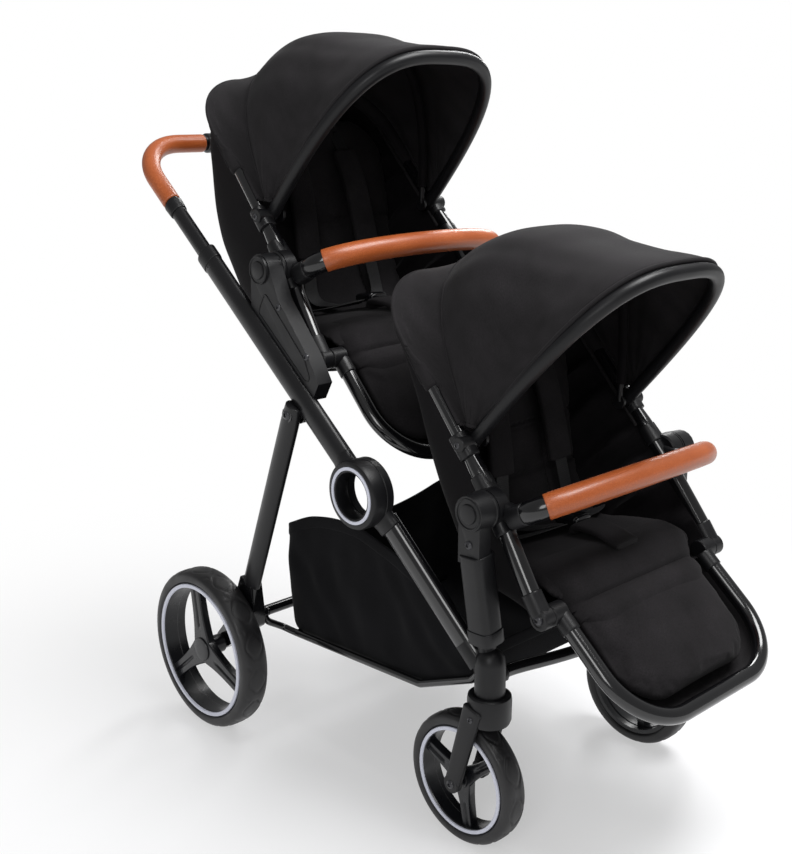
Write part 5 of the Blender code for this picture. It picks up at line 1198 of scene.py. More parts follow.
    def bucket(self) -> None:
        """The cloth bucket: an outer skin and a folded lining, joined at the rim.

        The lining's side walls stand in by a sin(k along + slant depth) folds, none at the rim.
        """
        along = np.linspace(self.depths[0][0], self.back - 0.0015, 90)[:, None]
        phi = np.linspace(0, math.pi, 72)[None]
        x, d = self.section(along, phi, 0.0)
        crease = 0.0012 * np.sin(along * 90 + 3 * np.cos(phi)) * np.sin(phi) ** 0.5
        outer = self.place(x * (1 - crease), along + 0 * x, d + self.set_back)
        x, d = self.section(along, phi, 0.0045)
        wall = np.clip(1 - np.abs(np.sin(phi)) ** 4, 0, 1) * np.clip(d / 0.03, 0, 1)
        fold = 0.5 + 0.5 * np.sin(along * 118 + 14 * d + 1.2 * np.sin(along * 31))
        push = 0.020 * wall * fold ** 3
        inner = self.place(x * (1 - push / 0.17), along + 0 * x, d + self.set_back - 0.004 * (d > 0.02))
        points = np.concatenate([outer, inner[:, ::-1]], 1)
        rows, cols = points.shape[:2]
        girth = distances(points[rows // 2])
        uv = np.stack([girth[None] + 0 * along, along + 0 * girth[None]], -1)
        faces = grid_faces(rows, cols, False, True)
        ends = np.arange(71)
        for base in (0, (rows - 1) * cols):
            faces = np.concatenate([faces, base + np.stack([ends, ends + 1, cols - 2 - ends, cols - 1 - ends], 1)])
        made = facing_out(mesh_object(self.name + "_bucket", points, faces, LINING, uv, 60))
        stand_for(made, self.name + "_tub", self.name, "fabric_charcoal")
        self.rim_binding()

    def rim_binding(self) -> None:
        """The cloth binding that laps the frame tube along the back, with its stitched piping behind."""
        flat = filleted([(self.half, 0.052), (self.half_top, self.back), (-self.half_top, self.back),
                         (-self.half, 0.052)], self.bend, 18)
        flat = evenly(flat, 180)
        inside = flat * [1 - self.tube_r / 0.18, 1]
        inside[:, 1] = np.minimum(inside[:, 1], self.back - self.tube_r)
        path = self.place(inside[:, 0], inside[:, 1], np.full(180, 0.006))
        made = sweep(self.name + "_piping", path, ring_profile(0.0026, 0.0026, 12), self.square, CLOTH)
        on(made, self.name, "fabric_charcoal")
        on_tube = (self.hood_at - self.hub) @ self.way
        loop = evenly(filleted([(self.half - 0.003, on_tube + 0.090), (self.half_top, self.back),
                                (-self.half_top, self.back),
                                (-self.half + 0.003, on_tube + 0.090)], self.bend, 18), 220)
        path = self.place(loop[:, 0], loop[:, 1], 0 * loop[:, 0])
        run = np.arange(220)
        swell = 1 + 0.020 * np.sin(run * 0.37) + 0.014 * np.sin(run * 0.91 + 1)
        cover = sweep(self.name + "_tube_cover", path, ring_profile(0.0122, 0.0120, 30), self.square, CLOTH, swell,
                      cap=0.004)
        on(cover, self.name, "fabric_charcoal")
        outer = path + (ACROSS * np.sign(path[:, :1]) * 0.0105 * np.clip(np.abs(path[:, :1]) / 0.16, 0, 1) ** 3)
        seam = sweep(self.name + "_cover_seam", outer[4:-4] + self.square * 0.0060, ring_profile(0.0016, 0.0016, 10),
                     self.square, CLOTH)
        on(seam, self.name, "fabric_charcoal")

    # Pads
    def pad(self) -> None:
        """The seat and back pad: a crowned cushion along the bucket, inflated as cloth, then channelled."""
        path = smooth_path(self.pad_line, 90) + self.hub
        run = np.linspace(0, 1, 90)
        behind = (path - self.hub) @ self.rear
        wide = np.minimum(0.170, (self.half - 0.002) * (1 - self.taper * (behind + 0.012)) - 0.009)
        end = np.minimum(run, 1 - run) * 0.50
        wide = wide * (1 - 0.10 * np.exp(-end / 0.02)) * (1 - 0.20 * np.clip((run - 0.86) / 0.14, 0, 1) ** 2)
        made = self.cushion(self.name + "_pad_quilted", path, wide, 0.0125, self.pad_crown, (0.30, 0.52, 0.66))
        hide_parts(self.name + "_pad")
        on(made, self.name, "fabric_charcoal")

    def cushion(self, name: str, path: Array, wide: Array, thick: float, crown: float, seams: tuple[float, ...],
                lengthwise: tuple[float, ...] = (-0.36, 0.36)) -> bpy.types.Object:
        """A closed cushion about a side-plane path, swollen by cloth pressure, then stitched.

        Top = path + crown (1 - |v|^3), bottom = path - thick, both meeting in round edges.

        Args:
            name: the piece's name.
            path: (n, 2) side-plane points under the crown.
            wide: (n,) half-widths.
            thick: thickness at the edge.
            crown: rise in the middle.
            seams: shares of the length where channels cross.
            lengthwise: shares of the half-width where channels run along.

        Returns:
            The cushion.
        """
        up = normals(path)
        t = np.linspace(0, 2 * math.pi, 72, endpoint=False)
        c, s = np.cos(t), np.sin(t)
        v = powered(c, 0.45)
        n = len(path)
        end = np.minimum(np.arange(n), n - 1 - np.arange(n)) / n
        swell = np.clip(end / 0.035, 0, 1) ** 0.5
        rise = np.where(s >= 0, crown * (1 - np.abs(v) ** 3) + thick * 0.35 * np.abs(s) ** 0.5,
                        -thick * 0.65 * np.abs(s) ** 0.5)
        middle = -thick * 0.35
        lift = middle + rise[None] * swell[:, None]
        x = wide[:, None] * v[None] * (0.97 + 0.03 * swell[:, None])
        yz = path[:, None] + up[:, None] * lift[..., None]
        points = np.concatenate([x[..., None], yz], -1)
        faces = grid_faces(n, 72, False, True).tolist()
        faces += [list(range(72))[::-1], list(range((n - 1) * 72, n * 72))]
        made = facing_out(mesh_object(name, points, faces, PAD_CLOTH, None, 80))
        inflate(made)
        self.channels(made, path, up, wide, seams, lengthwise)
        return made

    def channels(self, made: bpy.types.Object, path: Array, up: Array, wide: Array, seams: tuple[float, ...],
                 lengthwise: tuple[float, ...]) -> None:
        """Draw the stitched channels into the pad's upper side.

        A point's share of the length is that of the nearest path point; it sinks along the pad's
        normal by d exp(-(distance to the seam / 3 mm)^2).
        """
        mesh = made.data
        co = vertex_points(mesh)
        near = np.argmin(((co[:, None, 1:] - path[None]) ** 2).sum(-1), axis=1)
        above = ((co[:, 1:] - path[near]) * up[near]).sum(-1)
        length = distances(path)[-1]
        share = near / (len(path) - 1)
        side = co[:, 0] / wide[near]
        top = np.clip((above + 0.004) / 0.004, 0, 1)
        sink = np.zeros(len(co))
        for seam in seams:
            sink = np.maximum(sink, np.exp(-((share - seam) * length / 0.0045) ** 2))
        for seam in lengthwise:
            within = (share > 0.34) * (share < 0.97)
            sink = np.maximum(sink, np.exp(-((side - seam) * wide[near] / 0.004) ** 2) * within)
        pucker = 1 + 0.35 * np.sin(co[:, 0] * 520) * np.sin(share * length * 480)
        move = -0.0048 * sink * pucker * top
        co[:, 1:] += up[near] * move[:, None]
        mesh.vertices.foreach_set("co", co.ravel())
        mesh.update()

    def harness(self) -> None:
        """Shoulder pads and straps, waist straps, the crotch pad and the buckle."""
        surface = self.pad_surface()
        for side, s in SIDES.items():
            top = surface(0.93, s * 0.055, 0.004)
            low = surface(0.42, s * 0.066, 0.012)
            line = smooth_path([top, surface(0.80, s * 0.058, 0.020), surface(0.66, s * 0.062, 0.027),
                                surface(0.52, s * 0.066, 0.025), low], 60)
            lay = self.flat_strap("%s_shoulder_pad_%s" % (self.name, side), line[8:48], 0.0235, 0.0130, PAD_CLOTH,
                                  3.4)
            on(lay, self.name, "fabric_charcoal")
            line = smooth_path([top, line[12], line[30], line[46], surface(0.40, s * 0.070, 0.016),
                                surface(0.30, s * 0.050, 0.016),
                                surface(0.22, s * 0.018, 0.022)], 70)
            on(self.flat_strap("%s_shoulder_strap_%s" % (self.name, side), line, 0.0125, 0.0016, WEBBING, 6.0),
               self.name, "fabric_charcoal")
            line = smooth_path([surface(0.34, s * 0.135, 0.000), surface(0.30, s * 0.110, 0.012),
                                surface(0.25, s * 0.06, 0.016), surface(0.22, s * 0.018, 0.020)], 40)
            on(self.flat_strap("%s_waist_strap_%s" % (self.name, side), line, 0.0125, 0.0016, WEBBING, 6.0),
               self.name, "fabric_charcoal")
        line = smooth_path([surface(0.19, 0.0, -0.003), surface(0.185, 0.0, 0.018), surface(0.14, 0.0, 0.019),
                            surface(0.095, 0.0, 0.015), surface(0.055, 0.0, 0.012)], 50)
        on(self.flat_strap(self.name + "_crotch_pad", line[6:], 0.0240, 0.0120, PAD_CLOTH, 3.4), self.name,
           "fabric_charcoal")
        at = surface(0.215, 0.0, 0.026)
        across = surface(0.215, 0.01, 0.026) - at
        ahead = surface(0.195, 0.0, 0.026) - surface(0.235, 0.0, 0.026)
        ahead /= np.linalg.norm(ahead)
        path = at + np.linspace(-0.021, 0.021, 10)[:, None] * ahead
        body = sweep(self.name + "_buckle", path, ring_profile(0.0215, 0.0075, 32, 3.2), across, GLOSS_NYLON,
                     cap=0.004,
                     scale=1 - 0.18 * np.linspace(-1, 1, 10) ** 4)
        on(body, self.name, "plastic_black")

    def pad_surface(self) -> Callable[[float, float, float], Array]:
        """A function of (share of length, distance across, height) onto the pad's upper face."""
        path = smooth_path(self.pad_line, 200) + self.hub
        up = normals(path)

        def point(share: float, x: float, high: float) -> Array:
            """The point on the pad."""
            k = int(round(share * 199))
            return np.array([x, *(path[k] + up[k] * (high + self.pad_crown * (1 - abs(x / 0.156) ** 3)))])

        return point

    def flat_strap(self, name: str, path: Array, half: float, thick: float, finish: Finish,
                   power: float) -> bpy.types.Object:
        """A flat strap or strap pad along a path, its width lying across the seat."""
        ahead = np.gradient(path, axis=0)
        across = ACROSS - ahead * (ahead[:, :1] / (ahead ** 2).sum(1, keepdims=True))
        return sweep(name, path, ring_profile(half, thick / 2, 28, power), across, finish, cap=min(0.003, thick / 2))

    # Calf rest
    def calf_rest(self) -> None:
        """The U-shaped tube, its knuckles, the boot of cloth behind and the pad on it."""
        along = np.array([-math.cos(self.calf_drop), -math.sin(self.calf_drop)])
        square = np.array([0.0, along[1], -along[0]])
        w, length, bend = self.calf_half, self.calf_length, self.calf_bend
        flat = evenly(filleted([(-w, 0.010), (-w, length), (w, length), (w, 0.010)], bend, 24), 180)
        path = side_points(flat[:, 0], self.hinge + flat[:, 1:] * along)
        tube = sweep("calf", path, ring_profile(0.0115, 0.0115, 28), square, ENAMEL)
        pieces = [tube]
        for s in SIDES.values():
            a, b = s * 0.158, s * 0.1840
            pieces.append(turned("knuckle", [(0, a), (0.0138, a), (0.015, a + s * 0.001), (0.015, b - s * 0.001),
                                             (0.0138, b), (0, b)],
                                 (0.0, *self.hinge), NYLON, 48))
            run = np.linspace(0.006, 0.032, 8)[:, None]
            pieces.append(sweep("sleeve", side_points(s * w, self.hinge + along * run),
                                ring_profile(0.0132, 0.0132, 28), square, NYLON))
        made = joined(self.name + "_calf_tube", pieces)
        stand_for(made, self.name + "_calf_frame", self.name + "_calf", "frame_black")
        rows = np.linspace(0.001, length - 0.0215, 60)
        past = np.clip(rows - (length - 0.0990), 0, None)
        half = w - bend + np.sqrt(np.clip(0.0785 ** 2 - past ** 2, 0, None)) - 0.008
        half = np.maximum(half, 0.05)
        line = self.hinge + rows[:, None] * along
        made = self.cushion(self.name + "_calf_pad_quilted", line[::-1], half[::-1], 0.020, 0.013, (), ())
        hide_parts(self.name + "_calf_pad")
        on(made, self.name + "_calf", "fabric_charcoal")
        self.boot(along, square)
        self.apron(along)

    def apron(self, along: Array) -> None:
        """The cloth that carries the seat pad over its front edge to the calf pad, with a seam at the hinge.

        A point sits at line + up (rise (1 - |v|^3) - drop |v|^10), with v the share of the half-width.
        """
        surface = self.pad_surface()
        up = np.array([along[1], -along[0]])
        fold = self.hinge + along * 0.004 + up * 0.0155
        line = [surface(0.16, 0.0, 0.0)[1:], surface(0.10, 0.0, 0.003)[1:], surface(0.045, 0.0, 0.004)[1:], fold,
                self.hinge + along * 0.028 + up * 0.0190, self.hinge + along * 0.052 + up * 0.0080]
        line = smooth_path(line, 60)
        out = -normals(line)
        t = np.linspace(0, 1, 60)[:, None]
        v = np.linspace(-1, 1, 64)[None]
        seam = np.argmin(np.linalg.norm(line - fold, axis=1)) / 59
        dent = 0.0042 * np.exp(-((t - seam) / 0.022) ** 2)
        rise = 0.003 - 0.004 * np.abs(v) ** 3 - 0.022 * np.abs(v) ** 10 - dent
        half = 0.163 - 0.032 * t ** 1.3
        points = np.concatenate([(half * v)[..., None], line[:, None] + out[:, None] * rise[..., None]], -1)
        made = sheet_object(self.name + "_pad_apron", points, PAD_CLOTH)
        facing_up(made)
        thickened(made, 0.0030, -1.0)
        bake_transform(made)

    def boot(self, along: Array, square: Array) -> None:
        """The cloth boot: a shallow sling from the tube round under the pad, with soft gathers.

        Each row goes from one side of the tube to the other: x = w cos, sag = depth sin^0.6, and the
        gathers are a small sine round the lower bend.
        """
        rows = np.linspace(0.005, 0.1860, 46)[:, None]
        past = np.clip(rows - (self.calf_length - self.calf_bend), 0, 0.0805)
        half = self.calf_half - self.calf_bend + np.sqrt(0.0815 ** 2 - past ** 2) + 0.002
        phi = np.linspace(0, math.pi, 50)[None]
        x = half * np.cos(phi)
        sag = 0.034 * np.sin(phi) ** 0.5 * np.clip((0.1860 - rows) / 0.026 + 0.12, 0.12,
                                                   1) + 0.0012 * np.sin(phi * 26) * np.sin(phi)
        yz = self.hinge + rows[..., None] * along + (sag[..., None] + 0.004) * -square[1:]
        points = np.concatenate([x[..., None], yz], -1)
        made = thickened(sheet_object(self.name + "_calf_boot", points, CLOTH), 0.0016, 0.0)
        on(made, self.name + "_calf", "fabric_charcoal")

    # Hood
    def bow_point(self, phi: Array, wide: float, high: float, angle: Array | float) -> Array:
        """Points of a bow: x = w c^(2/3), reach = h s^(2/3), in a plane turned about the hood's pivots."""
        s = np.clip(np.sin(phi), 0, 1)
        x = wide * powered(np.cos(phi), 2 / 3)
        up = high * s ** (2 / 3)
        yz = self.hood_at + up[..., None] * np.stack([np.cos(angle + 0 * up), np.sin(angle + 0 * up)], -1)
        return np.concatenate([x[..., None], yz], -1)

    def bows(self) -> None:
        """The two bows: bent tubes with flattened, bolted ears at their pivots."""
        for part, wide, high, degrees, radius in (("front", 0.1690, 0.3065, 131.0, 0.0102),
                                                  ("mid", 0.1525, 0.2600, 92.0, 0.0050)):
            angle = math.radians(degrees)
            path = evenly(self.bow_point(np.linspace(0, math.pi, 900), wide, high, angle), 150)
            square = np.array([0.0, -math.sin(angle), math.cos(angle)])
            pieces = [sweep("bow", path, ring_profile(radius, radius, 24), square, BOW)]
            if part == "mid":
                pieces.append(sweep("channel", path[6:-6], ring_profile(0.0075, 0.0062, 20, 2.4), square, LINING))
            for s in SIDES.values():
                a, b = s * (wide - 0.0025), s * (wide + 0.0025)
                pieces.append(turned("ear", [(0, a), (0.0104, a), (0.011, a + s * 0.0006), (0.011, b - s * 0.0006),
                                             (0.0104, b), (0, b)],
                                     (0.0, *self.hood_at), NYLON, 40))
            made = joined("%s_hood_%s_tube" % (self.name, part), pieces)
            stand_for(made, "%s_hood_%s_bow" % (self.name, part), "%s_hood_%s" % (self.name, part), "frame_black")

    def hood_grid(self, rows: int, cols: int) -> Array:
        """The hood's cloth as a grid, its rows from the back to the front and its columns across.

        Width and reach run from the back tube over the mid bow to the front bow; between them the
        creases are small sines, none at the bows, and the back rows pass over to the seat's own tube.
        """
        f = np.linspace(0, 1, rows)[:, None]
        degrees = 49.0 + 79.7 * f
        at_angle = lambda pairs: np.interp(degrees, *smooth_path(pairs, 300).T)
        high = at_angle([(46, 0.286), (49, 0.2790), (55, 0.2600), (61, 0.2570), (70, 0.2650), (82, 0.2725),
                         (93, 0.2710), (104, 0.2675),
                         (117, 0.2815), (128.7, 0.3125), (133, 0.319)])
        wide = at_angle([(46, 0.178), (49, 0.1780), (56, 0.1735), (63, 0.1745), (78, 0.1790), (92, 0.1790),
                         (105, 0.1730), (118, 0.1715),
                         (128.7, 0.1748), (133, 0.175)])
        start = np.arcsin((0.024 / high) ** 1.5)
        v = np.linspace(0, 1, cols)[None]
        phi = start + (math.pi - 2 * start) * v
        x = wide * powered(np.cos(phi), 2 / 3)
        up = high * np.sin(phi) ** (2 / 3)
        edge = np.minimum(v, 1 - v)
        slack = np.sin(math.pi * f)
        creased = 0.0011 * np.sin(f * 34 + 2.0 * np.sin(v * 19)) * np.exp(-edge / 0.12) * slack
        creased = creased + 0.0009 * np.sin(v * 61 + 5 * f) * slack * np.exp(-((edge - 0.30) / 0.10) ** 2)
        up = up * (1 + creased / 0.25)
        x = x * (1 + creased / 0.17)
        shift = (1 - f) * np.arcsin(np.clip(0.0085 / up, 0, 1))
        angle = np.radians(degrees) + shift
        yz = self.hood_at + up[..., None] * np.stack([np.cos(angle), np.sin(angle)], -1)
        grid = np.concatenate([x[..., None], yz], -1)
        grow = np.clip(f / self.back_panel, 0, 1)[..., None]
        grow = grow ** 2 * (3 - 2 * grow)
        return self.hood_back(x[0], up[0])[None] * (1 - grow) + grid * grow

    def hood_back(self, x: Array, up: Array) -> Array:
        """The back edge of the hood's cloth: it lies round the outside of the seat's tube.

        Args:
            x: distances across of the free shape's back row.
            up: its distances from the pivots, which give the angles to look along.

        Returns:
            One point for each angle, 12 mm outside the tube's centreline.
        """
        low = (self.hood_at - self.hub) @ self.way
        loop = evenly(filleted([(self.half, low + 0.020), (self.half_top, self.back), (-self.half_top, self.back),
                                (-self.half, low + 0.020)], self.bend, 18), 1200) - [0, low]
        turn = np.arctan2(loop[:, 1], loop[:, 0])
        want = np.arctan2(up, x)
        across, high = np.interp(want, turn, loop[:, 0]), np.interp(want, turn, loop[:, 1])
        over = np.clip((high - 0.080) / 0.070, 0, 1)
        over = over ** 2 * (3 - 2 * over)
        wide = across * (1 + (0.0135 * over - 0.0010) / self.half)
        return self.place(wide, low + high * (1 + 0.0125 / (self.back - low)), -0.0125 + 0.0105 * over)

    def hood(self) -> None:
        """The hood's cloth, its front and back bindings and the seam over the mid bow."""
        grid = self.hood_grid(84, 132)
        made = sheet_object(self.name + "_hood_cloth", grid, CLOTH)
        facing_up(made)
        thickened(made, 0.0026, 1.0)
        trims = [self.hood_trim("hem_left", grid[:, 0], 0.0030), self.hood_trim("hem_right", grid[:, -1], 0.0030),
                 self.hood_trim("hem_back", grid[0], 0.0030), self.hood_trim("hem_front", grid[-1], 0.0034)]
        k = self.back_panel * 83
        a = int(k)
        line = grid[a] * (a + 1 - k) + grid[a + 1] * (k - a)
        out = unit(line - np.array([0, *self.hood_at]))
        trims.append(self.hood_trim("seam_back", line + out * 0.0024, 0.0016))
        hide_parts(self.name + "_hood_fabric")
        for piece in [made, *trims]:
            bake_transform(piece)

    def hood_trim(self, name: str, line: Array, radius: float) -> bpy.types.Object:
        """A bound edge or a raised seam along a line of the hood."""
        line = evenly(line, 140)
        out = line.mean(0) - np.array([0, *self.hood_at])
        return sweep("%s_hood_%s" % (self.name, name), line, ring_profile(radius * 1.25, radius, 14), out, CLOTH)

    # Bumper
    def bumper(self) -> None:
        """The bumper bar: a leatherette-wrapped bow with glossy collars and a stitched seam below."""
        at, way = self.socket_line()
        phi = np.linspace(0, math.pi, 1200)
        x = 0.188 * powered(np.cos(phi), 0.92)
        reach = 0.0173 + 0.0570 * np.sin(phi) ** 0.86
        flat = np.concatenate([[[0.188, 0.0125]], np.stack([x, reach], 1), [[-0.188, 0.0125]]])
        flat = evenly(flat, 220)
        path = side_points(flat[:, 0], at + flat[:, 1:] * way)
        square = np.array([0.0, -way[1], way[0]])
        run = distances(path)
        end = np.minimum(run, run[-1] - run)
        leather = path[end > 0.026]
        made = sweep("leather", leather, ring_profile(0.0172, 0.0172, 40), square, LEATHER, cap=0.004)
        pieces = [made]
        for k, part in enumerate((path[run < 0.034], path[run > run[-1] - 0.034])):
            pieces.append(sweep("collar%d" % k, part, ring_profile(0.0160, 0.0160, 36), square, GLOSS_NYLON,
                                cap=0.002))
        bar = joined(self.name + "_bumper_wrapped", pieces)
        stand_for(bar, self.name + "_bumper_bar", self.name + "_bumper", "leather_tan")
        seam = stitching(self.name + "_bumper_stitches", leather[3:-3], -square, 0.0172)
        on(seam, self.name + "_bumper", "leather_tan")


def facing_up(made: bpy.types.Object) -> None:
    """Turn a sheet over where its highest face looks down."""
    top = max(made.data.polygons, key=lambda p: p.center.z)
    if top.normal.z < 0:
        made.data.flip_normals()


def inflate(made: bpy.types.Object, voxel: float = 0.0052, cap: float = 0.006) -> None:
    """Swell a closed form by cloth pressure, no point moving further than the cap, then subdivide once."""
    remesh = made.modifiers.new("remesh", "REMESH")
    remesh.mode = "VOXEL"
    remesh.voxel_size = voxel
    applied(made)
    cloth = made.modifiers.new("cloth", "CLOTH")
    cloth.settings.use_pressure = True
    cloth.settings.uniform_pressure_force = 4.0
    cloth.settings.effector_weights.gravity = 0.0
    before = vertex_points(made.data)
    scene = bpy.context.scene
    for k in range(1, 21):
        scene.frame_set(k)
    graph = bpy.context.evaluated_depsgraph_get()
    after = vertex_points(made.evaluated_get(graph).to_mesh())
    made.evaluated_get(graph).to_mesh_clear()
    made.modifiers.clear()
    scene.frame_set(1)
    move = after - before
    size = np.linalg.norm(move, axis=1, keepdims=True)
    move *= np.minimum(1.0, cap / np.maximum(size, 1e-9))
    made.data.vertices.foreach_set("co", (before + move).ravel())
    fine = made.modifiers.new("fine", "SUBSURF")
    fine.levels = fine.render_levels = 1
    applied(made)
    made.data.polygons.foreach_set("use_smooth", [True] * len(made.data.polygons))


def vertex_points(mesh: bpy.types.Mesh) -> Array:
    """A mesh's points as (n, 3)."""
    co = np.zeros(len(mesh.vertices) * 3)
    mesh.vertices.foreach_get("co", co)
    return co.reshape(-1, 3)


# Basket
@dataclass
class Basket:
    """The cloth load basket on its wire frame."""

    at: Layout
    half: float = 0.189
    reach: float = 0.2215
    middle: float = 0.0415

    def heights(self, y: Array) -> tuple[Array, Array]:
        """Heights of the floor and of the side rim at distances behind the hub."""
        floor = smooth_path([(-0.200, 0.246), (-0.1602, 0.234), (-0.0552, 0.190), (0.10, 0.178), (0.26, 0.168)], 200)
        rim = smooth_path([(-0.200, 0.279), (-0.180, 0.283), (-0.06, 0.352), (0.055, 0.390), (0.115, 0.396),
                           (0.185, 0.385),
                           (0.2418, 0.360), (0.26, 0.352)], 300)
        return np.interp(y, floor[:, 0], floor[:, 1]), np.interp(y, rim[:, 0], rim[:, 1])

    def build(self) -> None:
        """The cloth shell with its hem, and the wire frame under it.

        A point's share of the way out is rho = sin^(2/p), of the way up h = 1 - cos^(2/p), over a
        plan that is a superellipse; the walls carry soft upright folds and slanting creases.
        """
        cols, rows = 300, 64
        theta = np.linspace(0.02, math.pi / 2, 4000)
        power = 22.0
        profile = np.stack([np.sin(theta) ** (2 / power), 1 - np.cos(theta) ** (2 / power)], 1)
        profile = evenly(np.concatenate([[[0.02, 0.0]], profile]) * [0.55, 0.45], rows) / [0.55, 0.45]
        rho, high = profile[:, :1], np.clip(profile[:, 1:], 0, 1)
        u = np.linspace(0, 2 * math.pi, 4001)
        plan = np.stack([self.half * powered(np.cos(u), 0.09), self.reach * powered(np.sin(u), 0.09)], 1)
        plan = evenly(plan, cols + 1)[:-1]
        side = np.abs(plan[:, 0]) / self.half
        y = self.middle + plan[None, :, 1] * rho
        floor, _ = self.heights(y)
        _, rim = self.heights(self.middle + plan[:, 1])
        back = np.clip(plan[:, 1] / self.reach, 0, 1) ** 12
        rim = rim - back * 0.030 * np.clip(1 - side ** 2, 0, 1)
        x = plan[None, :, 0] * rho * (0.965 + 0.035 * high)
        run = np.arange(cols)[None] / cols
        turn = run * 2 * math.pi
        fold = np.sin(turn * 19 + 2.2 * np.sin(turn * 3)) * 0.5 + 0.5 * np.sin(turn * 31 + 1.3)
        sway = np.sin(turn * 7 + 3.1 * high + 1.6 * np.sin(high * 5 + run * 40)) * np.sin(high * 6 + turn * 11)
        push = (0.0016 * fold + 0.0030 * sway) * np.sin(math.pi * high) ** 0.7 * (rho > 0.6)
        bulge = 0.004 * np.sin(math.pi * high)
        x = x * (1 + (push + bulge - 0.006) / self.half * (rho > 0.3))
        z = floor - 0.0065 + high * (rim[None] - floor + 0.0065)
        points = np.stack([x, self.at.hub[0] + y + 0 * x, z], -1)
        faces = grid_faces(rows, cols, False, True).tolist() + [list(range(cols))]
        step = np.hypot(np.diff(rho, axis=0, prepend=0), np.diff(high, axis=0, prepend=0))
        uv = np.stack([run * 1.2 + 0 * x, np.cumsum(step, axis=0) * 0.25 + 0 * x], -1)
        made = mesh_object("basket_cloth", points, faces, BAG, uv, 60)
        thickened(made, 0.0018, 0.0)
        hem = sweep("basket_hem", points[-1], ring_profile(0.0095, 0.0022, 20, 3.0), UPWARD, BAG, closed=True)
        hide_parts("basket")
        for piece in (made, hem):
            on(piece, "basket_carrier", "fabric_charcoal")
        wires = self.wires()
        stand_for(wires, "basket_frame", "basket_carrier", "frame_black")

    def wires(self) -> bpy.types.Object:
        """Two side rails with their eyes and two cross wires, hemmed into the cloth's floor."""
        front, rear = self.at.point(-0.181, -0.225), self.at.point(0.277, -0.280)
        bends = ((-0.1602, 0.2345), (-0.0552, 0.1880), (0.2400, 0.1690), (0.2660, 0.1740))
        low = [self.at.point(back, high - 0.485) for back, high in bends]
        pieces = []
        for s in SIDES.values():
            x, x_end = s * 0.182, s * 0.2215
            line = [(x, *front), (x, *low[0]), (x, *low[1]), (x, *low[2]), (s * 0.190, *low[3]),
                    (x_end, *(rear + [-0.010, -0.012])), (x_end, *rear)]
            path = evenly(filleted(line, 0.010, 6), 150)
            pieces.append(sweep("rail", path, ring_profile(0.0058, 0.0058, 16), np.array([1.0, 0.0, 0.01]), ENAMEL))
            for centre, a, b in ((front, 0.1760, 0.1880), (rear, 0.2155, 0.2275)):
                pieces.append(turned("eye", [(0.0035, s * a), (0.0085, s * a), (0.0092, s * (a + 0.001)),
                                             (0.0092, s * (b - 0.001)),
                                             (0.0085, s * b), (0.0035, s * b)], (0.0, *centre), ENAMEL, 32))
        for p in (low[1], low[2]):
            across = np.linspace(-0.182, 0.182, 20)
            pieces.append(sweep("cross", side_points(across, np.tile(p, (20, 1))), ring_profile(0.0048, 0.0048, 14),
                                UPWARD, ENAMEL))
        return joined("basket_wires", pieces)


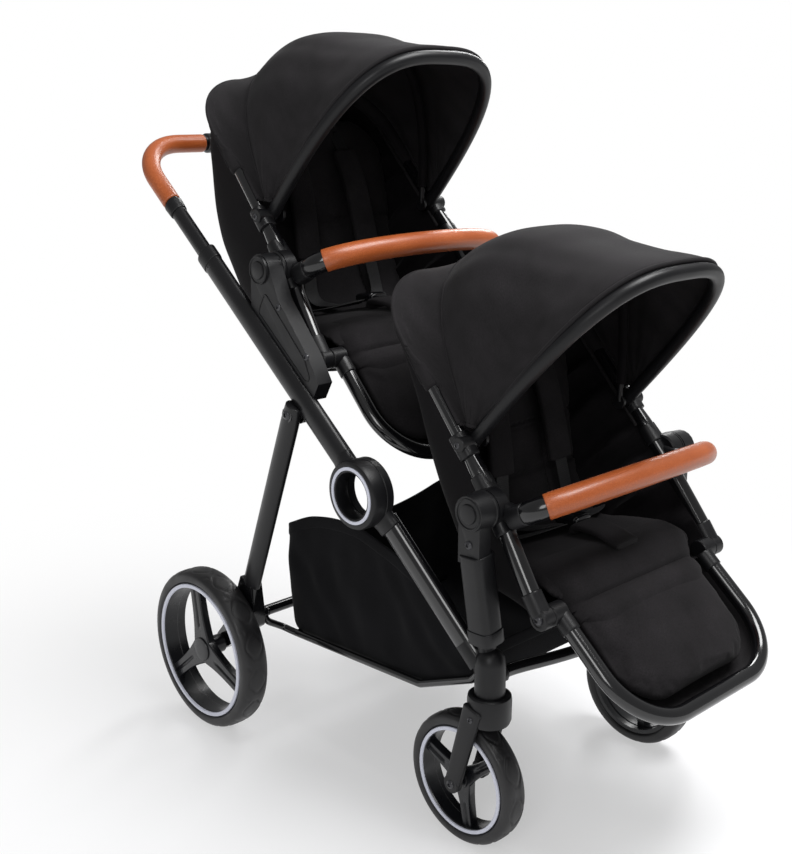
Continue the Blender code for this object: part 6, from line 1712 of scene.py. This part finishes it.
# Studio
@dataclass
class Studio:
    """A pale floor that whitens away from the pram, soft lamps and the photograph's camera."""

    floor_colour: str = "#F2F2F4"
    place: tuple[float, float, float] = (-1.288, -1.264547, 1.0109)
    turn_deg: tuple[float, float, float] = (74.818, 0.0, -42.888)
    lens_mm: float = 53.81

    def build(self) -> None:
        """Build the floor, world, lamps and camera."""
        self.floor()
        self.world()
        self.lamps()
        self.camera()

    def floor(self) -> None:
        """A wide plane whose cloth-white turns to plain white light with distance."""
        mesh = bpy.data.meshes.new("floor")
        mesh.from_pydata([(-9, -9, 0), (9, -9, 0), (9, 9, 0), (-9, 9, 0)], [], [(0, 1, 2, 3)])
        plane = bpy.data.objects.new("floor", mesh)
        bpy.context.scene.collection.objects.link(plane)
        made = bpy.data.materials.new("paper_sweep")
        made.use_nodes = True
        tree = made.node_tree
        tree.nodes.clear()
        place = add(tree, "TexCoord").outputs["Object"]
        far = add(tree, "VectorMath", {}, {"Vector": place}, operation="LENGTH")
        fade = add(tree, "MapRange", {"From Min": 0.10, "From Max": 1.45, "To Min": 0.42, "To Max": 1.0},
                   {"Value": far.outputs["Value"]}, interpolation_type="SMOOTHSTEP")
        paper = add(tree, "BsdfDiffuse", {"Color": linear(self.floor_colour)})
        white = add(tree, "Emission", {"Color": (1, 1, 1, 1), "Strength": 1.0})
        mix = add(tree, "MixShader", {}, {0: fade.outputs["Result"], 1: paper.outputs[0], 2: white.outputs[0]})
        out = add(tree, "OutputMaterial")
        tree.links.new(mix.outputs[0], out.inputs["Surface"])
        mesh.materials.append(made)

    def world(self) -> None:
        """White where the camera sees it, a softer grey dome for the light."""
        world = bpy.data.worlds.new("studio")
        bpy.context.scene.world = world
        world.use_nodes = True
        tree = world.node_tree
        tree.nodes.clear()
        ray = add(tree, "LightPath")
        strength = add(tree, "MapRange", {"To Min": 0.30, "To Max": 1.0}, {"Value": ray.outputs["Is Camera Ray"]})
        light = add(tree, "Background", {"Color": (1, 1, 1, 1)}, {"Strength": strength.outputs["Result"]})
        out = add(tree, "OutputWorld")
        tree.links.new(light.outputs[0], out.inputs["Surface"])

    def lamps(self) -> None:
        """A large soft key above the left, a long strip behind the right and a low front fill."""
        for name, at, aim, size, watts in (
                ("key", (0.5, -0.9, 3.0), (0, 0, 0.5), (1.7, 1.3), 88.0),
                ("rim", (1.9, 1.0, 2.2), (0, 0, 0.6), (0.5, 1.8), 30.0),
                ("fill", (-2.4, -1.6, 2.0), (0, 0, 0.6), (0.9, 1.3), 20.0)):
            lamp = bpy.data.lights.new(name, "AREA")
            lamp.shape = "RECTANGLE"
            lamp.size, lamp.size_y = size
            lamp.energy = watts
            made = bpy.data.objects.new(name, lamp)
            made.location = at
            made.rotation_euler = (Vector(aim) - Vector(at)).to_track_quat("-Z", "Y").to_euler()
            bpy.context.scene.collection.objects.link(made)

    def camera(self) -> None:
        """The camera worked out from the photograph."""
        data = bpy.data.cameras.new("camera")
        data.sensor_fit = "HORIZONTAL"
        data.sensor_width = 36.0
        data.lens = self.lens_mm
        made = bpy.data.objects.new("camera", data)
        made.location = self.place
        made.rotation_euler = [math.radians(v) for v in self.turn_deg]
        scene = bpy.context.scene
        scene.collection.objects.link(made)
        scene.camera = made
        scene.render.resolution_x, scene.render.resolution_y = 792, 854
        scene.view_settings.view_transform = "Standard"


def wheels() -> None:
    """Build the four wheels."""
    for side, s in SIDES.items():
        Wheel("rear_" + side, "rear_wheel_" + side, (s * 0.276, 0.283453, 0.135), s, 0.135, 0.048, 0.1135, 0.0065,
              0.020,
              80.0, 0.0135).build()
        Wheel("front_" + side, "front_wheel_" + side, (s * 0.202, -0.243247, 0.0965), s, 0.0965, 0.038, 0.078, 0.0056,
              0.0232,
              20.0, 0.0095).build()


def seats(frame: dict) -> None:
    """Build both seats."""
    Seat(frame, "rear_seat", math.radians(47),
         ((-0.156, 0.058), (-0.116, 0.108), (-0.076, 0.148), (-0.043, 0.172), (0.003, 0.182), (0.063, 0.184),
          (0.116, 0.178), (0.159, 0.169),
          (0.197, 0.147), (0.227, 0.117), (0.261, 0.078), (0.293, 0.050), (0.343, 0.022), (0.372, 0.010)),
          0.5).build()
    hub = np.array([(0.240, 0.238), (0.208, 0.170), (0.192, 0.110), (0.182, 0.050), (0.172, 0.0), (0.152, -0.055),
                    (0.124, -0.110),
                    (0.095, -0.143), (0.060, -0.155), (0.0, -0.155), (-0.060, -0.155), (-0.110, -0.125)])
    way = np.array([math.cos(Seat.lean), math.sin(Seat.lean)])
    rear = np.array([way[1], -way[0]])
    pairs = sorted((float(p @ way), max(float(p @ rear) - Seat.set_back, 0.004)) for p in hub)
    Seat(frame, "front_seat", math.radians(40), tuple(pairs) + ((0.372, 0.010),), 1.2).build()


def main() -> None:
    """Build the pram piece by piece, then the studio."""
    logging.basicConfig(level=logging.INFO, format="%(message)s")
    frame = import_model()
    at = Layout.of(frame)
    for label, job in (("wheels", wheels), ("chassis", Chassis(frame, at).build), ("handle", Handle(frame, at).build),
                       ("seats", lambda: seats(frame)), ("basket", Basket(at).build), ("studio", Studio().build)):
        job()


if __name__ == "__main__":
    main()
